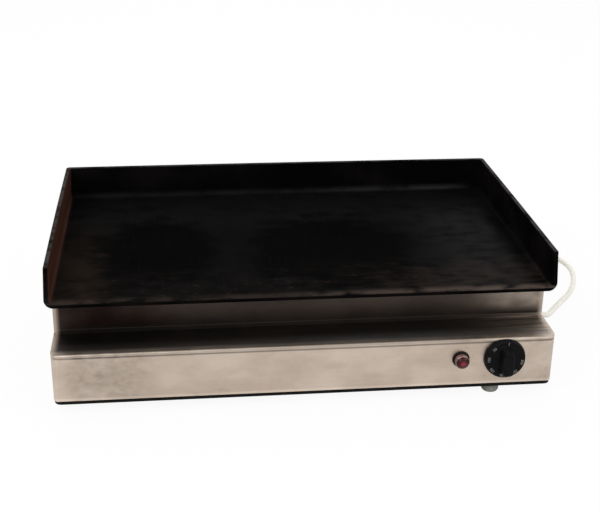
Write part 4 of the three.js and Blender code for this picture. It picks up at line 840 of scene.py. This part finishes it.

# %% [markdown]
# ## Finishes
#
# Steel that has been cooked on for years isn't one grey. Each finish starts from a base colour
# and adds what the surface shows: brush lines, grease that the heat has baked on, finger marks,
# worn edges, and on the stainless steel painted light and shade as well. In the shader editor
# that is a web of small nodes. Here one class wraps a socket, so that noises and masks are added
# and multiplied like numbers, and a second class collects the nodes of one material.

# %% Signals
class Signal:
    """A value that varies over a surface: each operator adds the Math node of the same name."""

    def __init__(self, finish, socket):
        self.finish, self.socket = finish, socket

    def maths(self, operation, *values):
        """A Math node of this operation, fed with the values in order."""
        return self.finish.node("ShaderNodeMath", {"operation": operation}, dict(enumerate(values)))

    def __add__(self, other):
        return self.maths("ADD", self, other)

    def __sub__(self, other):
        return self.maths("SUBTRACT", self, other)

    def __rsub__(self, other):
        return self.maths("SUBTRACT", other, self)

    def __mul__(self, other):
        return self.maths("MULTIPLY", self, other)

    def __abs__(self):
        return self.maths("ABSOLUTE", self)

    def root(self):
        """The square root."""
        return self.maths("SQRT", self)

    __radd__, __rmul__ = __add__, __mul__

    def between(self, low, high):
        """0 at low and 1 at high, eased at both ends; high may lie below low."""
        settings = {"interpolation_type": "SMOOTHSTEP"}
        return self.finish.node("ShaderNodeMapRange", settings, {0: self, 1: low, 2: high})

    def either(self, other):
        """The larger of two masks."""
        return self.maths("MAXIMUM", self, other)


# %% [markdown]
# Positions come from the object's own coordinates, in metres, because the pieces have no UV
# maps and all lie unturned at the origin. A noise that is stretched along an axis gives brush
# lines, and one without stretch gives stains.

# %% One material's nodes
class Finish:
    """A material with one Principled shader and the nodes that feed it."""

    def __init__(self, name, **constants):
        self.material = bpy.data.materials.new(name)
        self.material.use_nodes = True
        self.tree = self.material.node_tree
        self.shader = self.tree.nodes["Principled BSDF"]
        self.feed(self.shader, {key.replace("_", " "): value for key, value in constants.items()})
        self.place = self.node("ShaderNodeTexCoord", output="Object")
        self.x, self.y, self.z = self.parts(self.place)
        self.facing = self.parts(self.node("ShaderNodeTexCoord", output="Normal"))

    def feed(self, node, inputs):
        """Links signals and sets plain values; a colour gets its fourth number."""
        for key, value in inputs.items():
            socket = node.inputs[key]
            if isinstance(value, Signal):
                self.tree.links.new(value.socket, socket)
            elif socket.type == "RGBA":
                socket.default_value = (*value, 1)
            else:
                socket.default_value = value

    def node(self, kind, settings=(), inputs=(), output=0):
        """A node with its settings made first, then its inputs; the answer is one of its outputs."""
        node = self.tree.nodes.new(kind)
        for key, value in dict(settings).items():
            setattr(node, key, value)
        self.feed(node, dict(inputs))
        return Signal(self, node.outputs[output])

    def parts(self, vector):
        """The three numbers of a vector."""
        node = self.tree.nodes.new("ShaderNodeSeparateXYZ")
        self.feed(node, {0: vector})
        return [Signal(self, socket) for socket in node.outputs]

    def grain(self, size, stretch=(1, 1, 1), detail=3.0, shift=0.0):
        """Noise with patches of a size in metres, drawn out along the axes by the stretch."""
        inputs = {0: self.place, 1: [1 / (size * long) for long in stretch], 2: [shift] * 3}
        spot = self.node("ShaderNodeVectorMath", {"operation": "MULTIPLY_ADD"}, inputs)
        return self.node("ShaderNodeTexNoise", (), {"Vector": spot, "Scale": 1.0, "Detail": detail})

    def over(self, mask, under, above):
        """One colour laid over another where the mask is 1."""
        inputs = {0: mask, 6: under, 7: above}
        return self.node("ShaderNodeMix", {"data_type": "RGBA"}, inputs, output=2)

    def layered(self, colour, layers):
        """Masks and colours laid over a base colour, one after the other."""
        for mask, above in layers:
            colour = self.over(mask, colour, above)
        return colour

    def shade(self, colour, strength):
        """A colour made lighter or darker by a signal near 1."""
        grey = self.node("ShaderNodeCombineXYZ", (), {0: strength, 1: strength, 2: strength})
        settings = {"data_type": "RGBA", "blend_type": "MULTIPLY"}
        return self.node("ShaderNodeMix", settings, {0: 1.0, 6: colour, 7: grey}, output=2)

    def wear(self, colour, roughness, height=None, depth=0.0):
        """Feeds what varies: colour, roughness and a relief of the given depth in metres."""
        varying = {"Base Color": colour, "Roughness": roughness}
        if height is not None:
            varying["Normal"] = self.node("ShaderNodeBump", (), {"Distance": depth, "Height": height})
        self.feed(self.shader, varying)
        return self.material


# %% [markdown]
# ### Brushed stainless steel
#
# The sheet was brushed along its length, so the fine lines run sideways on the front, the ledge
# and the rear, and front to back on the side walls: the surface's own normal picks which. Over
# that lie faint finger marks. Under the tray the steel is another colour altogether. Years of
# heat and grease have baked dark brown onto the skirt and the ledge, and the same colour holds
# painted shade from the tray's overhang, most at the left and darkest at the skirt's foot. The
# ledge is painted lighter towards its front, and the right-hand end and both ends are painted
# lighter as a painted reflection. The grease stops short of the ledge's front bend, where it
# gets wiped. A painted shadow line runs just under that bend, the left end of the front is
# painted lighter and the hem carries a painted highlight.

# %% Stainless steel
LEDGE_TOP = 76 * MM
# The second height is the line of a painted shadow under the ledge's bend.
FRONT_HEM, CREASE_SHADOW_LINE = CASING_BOTTOM + 4.4 * MM, LEDGE_TOP - 4.2 * MM
DULL_STEEL, CLEAN_STEEL = (0.5, 0.41, 0.335), (0.6, 0.505, 0.425)
# Painted light and shade on the ledge: its grease is dark at the back under the tray's overhang and
# lighter, as if lit, towards its front.
THICK_GREASE_IN_SHADE = (0.01, 0.0085, 0.008)
LIT_THIN_GREASE_LEFT, LIT_THIN_GREASE_RIGHT = (0.1, 0.088, 0.08), (0.112, 0.11, 0.112)
# Painted shade: the darker of the two skirt colours stands for the shade at the skirt's foot as well as
# baked grease.
BAKED_DARK_AND_SHADE, BAKED_LEFT = (0.009, 0.006, 0.0052), (0.011, 0.0042, 0.0038)
HEAT_BROWN = (0.038, 0.029, 0.025)


def baked_grease(steel, marks, streaks):
    """Near 1 on the ledge and the skirt's front, for burnt-on oil and painted shade; less at their ends
    as painted reflection; a trace on the side walls.
    """
    step_back = steel.y.between(PANEL_FACE + 1.5 * MM, PANEL_FACE + 14 * MM)
    raised = steel.z.between(LEDGE_TOP - 2 * MM, LEDGE_TOP - 0.5 * MM)
    right_end = steel.x.between(0.17, 0.285)
    # Painted reflection: less grease at the right-hand end and the ledge's right half, so they read
    # lighter.
    reflecting_right = right_end * (0.1 + streaks * 0.4) + steel.x.between(-0.05, 0.15) * 0.012
    on_ledge = step_back * (1 - reflecting_right) * steel.z.between(LEDGE_TOP + 9 * MM, LEDGE_TOP + 4 * MM)
    # Painted reflection: the skirt's right-hand end is lighter above its foot.
    reflecting_skirt_end = right_end * (0.3 + marks * 0.4) * steel.z.between(LEDGE_TOP + 5 * MM, LEDGE_TOP + 22 * MM)
    on_skirt = steel.z.between(LEDGE_TOP + 1 * MM, LEDGE_TOP + 6 * MM) * (1 - reflecting_skirt_end)
    # Painted reflection: the skirt's and the ledge's ends by the side walls keep less grease.
    reflecting_ends = 1 - abs(steel.x).between(0.285, 0.2925) * 0.7
    to_front = (steel.facing[1] * -1).either(steel.facing[2]).between(0.2, 0.5)
    under_tray = steel.z.between(CASING_BOTTOM, TRAY_UNDER) * (0.02 + marks * 0.13)
    thickest = steel.x.between(-0.08, -0.24) * 0.027
    front = raised * on_ledge.either(on_skirt) * reflecting_ends * (0.925 + marks * 0.04 + thickest)
    return under_tray * (1 - to_front) + front * to_front


def face_tone(steel, marks, fine_marks):
    """Near 1: painted light at the left end, a painted highlight on the hem, darker in the marks, on
    the bend except its right end, and in a painted shadow line.
    """
    at_front = steel.y.between(PANEL_FACE + 6 * MM, PANEL_FACE + 1 * MM)
    # Painted light: the left end of the front is made lighter, as if lit from the left.
    left_end = steel.x.between(-0.262, -0.286)
    handled = steel.x.between(-0.16, -0.22) * (1 - left_end) + steel.x.between(0.19, 0.24) * 0.6
    # Painted highlight: a light line along the hem at the bottom of the front.
    hem = steel.z.between(FRONT_HEM, FRONT_HEM - 1 * MM) * at_front
    # Darker along the ledge's bend, except at its right-hand end.
    under_bend = steel.z.between(LEDGE_TOP - 3 * MM, LEDGE_TOP - 1.5 * MM)
    bend = under_bend * steel.x.between(0.23, 0.17) * at_front
    # Painted shadow: a thin dark line under the ledge's bend, where a fold would cast one.
    crease_shadow = (1 - (abs(steel.z - CREASE_SHADOW_LINE)).between(0.3 * MM, 1.8 * MM)) * at_front
    smudge = fine_marks.between(0.52, 0.7) * marks.between(0.45, 0.3) * 0.2
    blotch = handled * (0.03 + fine_marks.between(0.35, 0.65) * 0.17)
    return 0.97 + left_end * 0.12 + hem * 0.2 - crease_shadow * 0.55 - bend * 0.3 - smudge - blotch


def brushed_stainless():
    """Brush noise of half-millimetre lines, stains of two sizes, and the two masks above."""
    steel = Finish("stainless_brushed", Metallic=1.0)
    sideways = abs(steel.facing[0]).between(0.6, 0.8)
    lines_x = steel.grain(0.5 * MM, (120, 1, 1), 2)
    lines_y = steel.grain(0.5 * MM, (1, 120, 1), 2, 5)
    lines = lines_x * (1 - sideways) + lines_y * sideways
    marks = steel.grain(38 * MM, (1.4, 1, 0.8), 4, 3)
    fine_marks = steel.grain(9 * MM, (1.5, 1, 1), 4, 11)
    patch = marks.between(0.3, 0.7)
    # Baked grease and painted shade under the tray's overhang, on the skirt and the ledge.
    baked_and_shaded = baked_grease(steel, patch, steel.grain(2.5 * MM, (25, 1, 1), 3, 8).between(0.35, 0.65))
    clean = steel.over(marks.between(0.35, 0.7), DULL_STEEL, CLEAN_STEEL)
    brushed = 0.9 + lines * 0.14 + fine_marks * 0.08
    clean = steel.shade(clean, face_tone(steel, marks, fine_marks) * brushed)
    on_skirt = steel.z.between(LEDGE_TOP + 2 * MM, LEDGE_TOP + 12 * MM)
    rising = steel.z.between(LEDGE_TOP + 4 * MM, LEDGE_TOP + 30 * MM)
    # Painted light: the ledge's lighter grease colours spread towards its front and its right, broken
    # by finger-mark noise.
    forward = steel.y.between(PANEL_FACE + 34 * MM, PANEL_FACE + 10 * MM)
    to_right = steel.x.between(-0.22, 0.16)
    thin = steel.over(to_right, LIT_THIN_GREASE_LEFT, LIT_THIN_GREASE_RIGHT)
    thinned_and_lit = forward * (0.55 + to_right * 0.6) * (0.6 + fine_marks * 0.6)
    ledge_grease_and_light = steel.over(thinned_and_lit, THICK_GREASE_IN_SHADE, thin)
    # Painted shade: the skirt's colour darkens towards its foot, in the corner with the ledge.
    heat_tint_and_shade = rising * (0.5 + patch * 0.12 + fine_marks * 0.4)
    tinted_and_shaded = steel.over(heat_tint_and_shade, BAKED_DARK_AND_SHADE, HEAT_BROWN)
    tinted_and_shaded = steel.over(steel.x.between(-0.1, -0.25) * 0.85, tinted_and_shaded, BAKED_LEFT)
    colour = steel.over(baked_and_shaded, clean, steel.over(on_skirt, ledge_grease_and_light, tinted_and_shaded))
    roughness = 0.27 + lines * 0.12 + marks * 0.1 + baked_and_shaded * 0.12
    return steel.wear(colour, roughness, lines + marks * 0.3, depth=0.00002)


# %% [markdown]
# ### Seasoned steel
#
# The tray is bare steel under many burnt-on coats of oil. It is almost black and hardly glossy,
# because the crust is porous. A haze lies on the floor, most at its ends and its rear, and least
# in two ragged spots over the heaters. The scraper has worn the edges and the front of the floor,
# most at the right, the inner bends are lighter, most at the right, and old grease has browned
# the left rim. Each of these is a mask and a colour, laid one over the other.

# %% Tray finish
BURNT_SPOTS = [(-0.17, 0.0, 0.07, 0.1), (0.045, -0.01, 0.1, 0.11)]  # x, y and the half axes
TONES = {
    "crust": (0.0016, 0.0015, 0.0015), "stain": (0.006, 0.0048, 0.0046),
    "dull": (0.003, 0.0029, 0.0029), "rear_haze": (0.0043, 0.0042, 0.0043),
    "right_haze": (0.0135, 0.013, 0.0128), "left_haze": (0.0135, 0.0092, 0.0067),
    "burnt": (0.0008, 0.0008, 0.0008), "scoured": (0.031, 0.0215, 0.018),
    "fleck": (0.028, 0.022, 0.018), "lip": (0.07, 0.052, 0.043), "scratch": (0.02, 0.018, 0.017),
    "bend": (0.019, 0.0185, 0.018), "left_rim": (0.08, 0.031, 0.02), "edge": (0.05, 0.047, 0.045),
}


def burnt_spots(crusted, ragged):
    """1 near the middle of each ellipse on the floor; the distance is made ragged by a noise."""
    spots = None
    for x, y, half_x, half_y in BURNT_SPOTS:
        across, along = (crusted.x - x) * (1 / half_x), (crusted.y - y) * (1 / half_y)
        spot = ((across * across + along * along).root() + ragged).between(1.75, 1.25)
        spots = spot.either(spots) if spots else spot
    return spots


def seasoned_steel():
    """Black crust, then haze, burnt spots, a scoured front, lighter bends, worn top edges and a brown
    left rim.
    """
    crusted = Finish("steel_seasoned", Specular_IOR_Level=0.002)
    stains = crusted.grain(70 * MM, (1.3, 1, 1), 5)
    crust = crusted.grain(20 * MM, (1.5, 1, 1), 6, 7)
    flecks = crusted.grain(5 * MM, (2.4, 1, 1), 4, 9)
    scraped = crusted.grain(1.2 * MM, (0.7, 60, 1), 2, 2)
    drawn = crusted.grain(4 * MM, (9, 1, 1), 4, 14)
    x, y, z = crusted.x, crusted.y, crusted.z

    def raised(low, high):
        """0 at the first and 1 at the second height over the underside, in millimetres."""
        return z.between(TRAY_UNDER + low * MM, TRAY_UNDER + high * MM)

    floor, bend = raised(8, 5.5) * raised(3.6, 4.6), raised(5, 8) * raised(16, 8)
    right = x.between(-0.05, 0.26)
    right_haze = x.between(0.13, 0.24) * x.between(0.287, 0.262) * y.between(0.17, 0.05)
    left_haze = x.between(-0.21, -0.27) * y.between(0.15, -0.06)
    rear_haze = y.between(0.03, 0.12)
    front = floor * y.between(FRONT_EDGE + 0.12, FRONT_EDGE + 0.03)
    lip = floor * y.between(FRONT_EDGE + 16 * MM, FRONT_EDGE + 3 * MM)
    left_rim = x.between(-0.27, -0.288) * crusted.facing[0].between(0.3, 0.8)
    top_edge = raised(TRAY_RIM / MM - 1.6, TRAY_RIM / MM)
    scoured = (crust * 0.6 + drawn * 0.4).between(0.38, 0.66) * (0.08 + right * 0.44)
    # The inner bends are made lighter, most at the right.
    lighter_bends = crust.between(0.15, 0.6) * x.between(0.285, 0.255) * (0.35 + right * 0.65)
    colour = crusted.layered(TONES["crust"], [
        (stains.between(0.4, 0.64) * 0.6, TONES["stain"]),
        (floor * stains.between(0.36, 0.6), TONES["dull"]),
        (floor * rear_haze * crust.between(0.1, 0.7), TONES["rear_haze"]),
        (floor * right_haze * crust.between(0.1, 0.7), TONES["right_haze"]),
        (floor * left_haze * crust.between(0.2, 0.7), TONES["left_haze"]),
        (floor * burnt_spots(crusted, crust), TONES["burnt"]),
        (front * scoured, TONES["scoured"]),
        (front * flecks.between(0.56, 0.74) * crust.between(0.4, 0.6) * 0.5, TONES["fleck"]),
        (lip * crust.between(0.3, 0.6) * (0.25 + right * 0.75), TONES["lip"]),
        (floor * scraped.between(0.62, 0.75) * 0.2, TONES["scratch"]),
        (bend * lighter_bends, TONES["bend"]),
        (left_rim * (0.35 + stains * 0.4) * (0.4 + scraped), TONES["left_rim"]),
        (top_edge * crust.between(0.3, 0.6) * 0.8, TONES["edge"]),
    ])
    roughness = 0.4 + stains * 0.16 + crust * 0.16 - top_edge * 0.1
    relief = crust + stains * 0.5 + flecks * 0.25 + scraped * 0.2
    return crusted.wear(colour, roughness, relief, depth=0.00014)


# %% [markdown]
# ### Plated and plain metals
#
# Zinc, brass, copper, chrome and the heaters' sheaths differ in colour, in gloss and in how
# blotchy they are, so one function serves them all. Heat tint is only one more colour that the
# blotches may turn to.

# %% Small metals
def small_metal(name, colour, tint, roughness, blotch):
    """A metal whose colour wanders to its tint in blotches, with a finer grain in its gloss."""
    metal = Finish(name, Metallic=1.0)
    patches, fine = metal.grain(blotch, detail=4), metal.grain(blotch / 8, detail=2, shift=4)
    shades = metal.over(patches.between(0.35, 0.7), colour, tint)
    return metal.wear(shades, roughness + patches * 0.12 + fine * 0.06, fine, depth=0.00001)


# %% [markdown]
# ### Plastics, rubber, paint and wool
#
# These are not metals, so their colour comes from inside and their gloss is white. Moulded
# plastic has a very fine grain, rubber a coarser one with a bloom of dust, and mineral wool is
# a mat of fibres.

# %% Moulded and soft finishes
def moulded(name, colour, worn, roughness, grain=0.8 * MM, relief=0.00002, gloss=0.5):
    """A colour that fades in soft patches, over a fine grain that breaks up the gloss."""
    plastic = Finish(name, Specular_IOR_Level=gloss)
    patches, fine = plastic.grain(14 * MM, detail=3), plastic.grain(grain, detail=2, shift=6)
    faded = patches.between(0.4, 0.75) * 0.6 + fine.between(0.5, 0.8) * 0.2
    shades = plastic.over(faded, colour, worn)
    return plastic.wear(shades, roughness + patches * 0.14, fine + patches * 0.3, relief)


def mineral_wool():
    """Two crossed sets of stretched noise, as fibres."""
    wool = Finish("wool_blanket", Specular_IOR_Level=0.1)
    fibres = wool.grain(0.7 * MM, (14, 1, 1), 3) + wool.grain(0.7 * MM, (1, 14, 1), 3, 5)
    shades = wool.over((fibres * 0.5).between(0.35, 0.65), (0.62, 0.56, 0.42), (0.84, 0.8, 0.68))
    return wool.wear(shades, 0.95, fibres, depth=0.0004)


# %% [markdown]
# ### The lamp's lens
#
# The lens is clear red plastic over a small neon tube. Its red is dark at the rim and painted
# lighter in the middle, a painted reflection of the dome, so its colour follows the distance
# from the lamp's axis, and a clear coat gives the sharp highlight.

# %% Lens
def red_lens():
    """Dark red, with a painted reflection that lightens it towards the axis by the distance in the
    panel's plane.
    """
    lens_red = Finish("lens_red", Specular_IOR_Level=0.15, Coat_Weight=0.15, Coat_Roughness=0.08)
    across = lens_red.x - float(LAMP_CENTRE[0])
    upward = lens_red.z - float(LAMP_CENTRE[2])
    distance = (across * across + upward * upward).root()
    # Painted reflection: the lens is lighter near its middle.
    centre_reflection = distance.between(5 * MM, 0.5 * MM)
    ripple = lens_red.grain(2 * MM, detail=2)
    dark_red, reflected_red = (0.03, 0.001, 0.0015), (0.27, 0.028, 0.036)
    shades = lens_red.over(centre_reflection * (0.5 + ripple * 0.6), dark_red, reflected_red)
    return lens_red.wear(shades, 0.18 + ripple * 0.1, ripple, depth=0.00003)


# %% Every finish by its slot
rubbery = {"grain": 0.6 * MM, "relief": 0.00004}
finishes = {
    "black_steel": seasoned_steel(),
    "stainless": brushed_stainless(),
    "galvanised": small_metal("sheet_galvanised", (0.42, 0.43, 0.44), (0.58, 0.59, 0.6), 0.42, 14 * MM),
    "zinc_plate": small_metal("zinc_bright", (0.6, 0.61, 0.6), (0.74, 0.74, 0.71), 0.24, 5 * MM),
    "heater_sheath": small_metal("sheath_heat_tinted", (0.1, 0.085, 0.075), (0.26, 0.19, 0.13),
                                 0.45, 18 * MM),
    "brass": small_metal("brass_dull", (0.6, 0.44, 0.2), (0.42, 0.28, 0.12), 0.32, 6 * MM),
    "copper": small_metal("copper_dull", (0.62, 0.33, 0.2), (0.36, 0.18, 0.11), 0.3, 12 * MM),
    "chrome": small_metal("chrome_polished", (0.34, 0.23, 0.22), (0.22, 0.12, 0.12), 0.12, 3 * MM),
    "black_paint": moulded("paint_black", (0.003, 0.003, 0.003), (0.009, 0.008, 0.007), 0.5,
                           grain=1.5 * MM, gloss=0.08),
    "black_moulding": moulded("moulding_black", (0.003, 0.003, 0.0035), (0.007, 0.007, 0.0075),
                              0.36, gloss=0.06),
    "pale_moulding": moulded("moulding_pale", (0.72, 0.69, 0.6), (0.62, 0.57, 0.46), 0.5),
    "black_rubber": moulded("rubber_black", (0.006, 0.006, 0.006), (0.016, 0.015, 0.014), 0.65,
                            gloss=0.15, **rubbery),
    "grey_rubber": moulded("rubber_grey", (0.21, 0.21, 0.19), (0.29, 0.29, 0.265), 0.7,
                           gloss=0.3, **rubbery),
    "cream_vinyl": moulded("vinyl_cream", (0.86, 0.84, 0.76), (0.78, 0.76, 0.66), 0.42, 1.2 * MM),
    "brown_wire": moulded("wire_brown", (0.16, 0.06, 0.03), (0.22, 0.1, 0.05), 0.4, 1 * MM),
    "blue_wire": moulded("wire_blue", (0.04, 0.12, 0.42), (0.07, 0.18, 0.5), 0.4, 1 * MM),
    "earth_wire": moulded("wire_earth", (0.16, 0.36, 0.06), (0.7, 0.6, 0.06), 0.4, 1 * MM),
    "mineral_wool": mineral_wool(),
    "red_lens": red_lens(),
}
ink = moulded("ink_pale", (0.24, 0.24, 0.235), (0.12, 0.12, 0.115), 0.5, 0.3 * MM)
print(f"{len(finishes)} finishes")

# %% [markdown]
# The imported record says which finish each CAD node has, and the new pieces were told theirs as
# they were made. The dial's printed marks take the ink.

# %% Dress every piece
def dress(piece, material):
    """The piece's faces all take one material."""
    piece.data.materials.clear()
    piece.data.materials.append(material)


node_slots = {part["node"]: part["material_slot"] for part in frame["record"]["subparts"]}
for node, piece in frame["nodes"].items():
    dress(piece, finishes[node_slots[node]])
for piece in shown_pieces():
    if "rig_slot" in piece:
        dress(piece, finishes[piece["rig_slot"]])
for mark in dial_ink:
    dress(mark, ink)

# %% [markdown]
# ## Floor and light
#
# The object stands on plain white paper, and the photograph has burnt the paper out, so that
# only a trace of shadow is left under the casing. More light would do that too, but it would
# bleach the steel. Instead the floor is asked which ray has met it: a camera ray, a glossy one
# or one through the lens finds it mostly white already, with a share of the real, shaded paper
# mixed in, and all other rays meet plain pale paper. The world works the same way. Three soft
# lamps do the modelling: a broad one high on the left, a weaker one on the right, and one
# behind that draws the rims.

# %% Stage
FLOOR_SIZE = 6.0
PAPER_SHARE = 0.07
SKY_LEVEL = 0.5
DIRECT_RAYS = ("Is Camera Ray", "Is Glossy Ray", "Is Transmission Ray")


def seen_directly(finish):
    """1 for camera, glossy and transmission rays."""
    path = finish.tree.nodes.new("ShaderNodeLightPath")
    camera_ray, glossy, through = (Signal(finish, path.outputs[kind]) for kind in DIRECT_RAYS)
    return camera_ray.either(glossy).either(through)


def paper():
    """Pale paper, mixed with plain white where it is seen directly."""
    sheet = Finish("paper_white", Specular_IOR_Level=0.0)
    fibre = sheet.grain(1.5 * MM, detail=3)
    sheet.wear(sheet.over(fibre, (0.8, 0.8, 0.8), (0.84, 0.84, 0.84)), 0.9)
    white = sheet.node("ShaderNodeEmission", (), {"Color": (1, 1, 1), "Strength": 1.0})
    shaded = Signal(sheet, sheet.shader.outputs[0])
    burnt_out = seen_directly(sheet) * (1 - PAPER_SHARE)
    mixed = sheet.node("ShaderNodeMixShader", (), {0: burnt_out, 1: shaded, 2: white})
    sheet.feed(sheet.tree.nodes["Material Output"], {"Surface": mixed})
    return sheet.material


def add_floor():
    """A level square on the table plane."""
    half = FLOOR_SIZE / 2
    mesh = bpy.data.meshes.new("floor")
    corners = [(-half, -half, 0), (half, -half, 0), (half, half, 0), (-half, half, 0)]
    mesh.from_pydata(corners, [], [(0, 1, 2, 3)])
    mesh.materials.append(paper())
    floor = in_scene("floor", mesh)


def light_world():
    """White where it is seen directly, and an even grey light for everything else."""
    world = bpy.data.worlds.new("studio")
    world.use_nodes = True
    nodes, links = world.node_tree.nodes, world.node_tree.links
    path, sky = nodes.new("ShaderNodeLightPath"), nodes["Background"]
    sky.inputs["Color"].default_value = (1, 1, 1, 1)
    direct = None
    for kind in DIRECT_RAYS:
        larger = nodes.new("ShaderNodeMath")
        larger.operation = "MAXIMUM"
        links.new(path.outputs[kind], larger.inputs[0])
        if direct:
            links.new(direct, larger.inputs[1])
        direct = larger.outputs[0]
    level = nodes.new("ShaderNodeMapRange")
    level.inputs["To Min"].default_value, level.inputs["To Max"].default_value = SKY_LEVEL, 1.0
    links.new(direct, level.inputs["Value"])
    links.new(level.outputs[0], sky.inputs["Strength"])
    bpy.context.scene.world = world


add_floor()
light_world()
print(f"floor {FLOOR_SIZE} m square")

# %% Lamps
def add_lamp(name, place, aim, size, power):
    """A square soft lamp at a place, turned to face its aim."""
    light = bpy.data.lights.new(name, "AREA")
    light.size, light.energy = size, power
    lamp = in_scene(name, light)
    lamp.location = place
    lamp.rotation_euler = (Vector(aim) - Vector(place)).to_track_quat("-Z", "Y").to_euler()
    return lamp


lamps = [
    add_lamp("key_lamp", (-1.6, -1.6, 2.2), aim=(0, 0, 0.05), size=1.6, power=40),
    add_lamp("fill_lamp", (1.9, -1.2, 1.5), aim=(0, 0, 0.05), size=1.4, power=12),
    add_lamp("rim_lamp", (0.2, 2.0, 1.8), aim=(0, 0, 0.1), size=1.6, power=14),
]
bpy.context.scene.view_settings.view_transform = "Standard"
print(f"{len(lamps)} lamps")
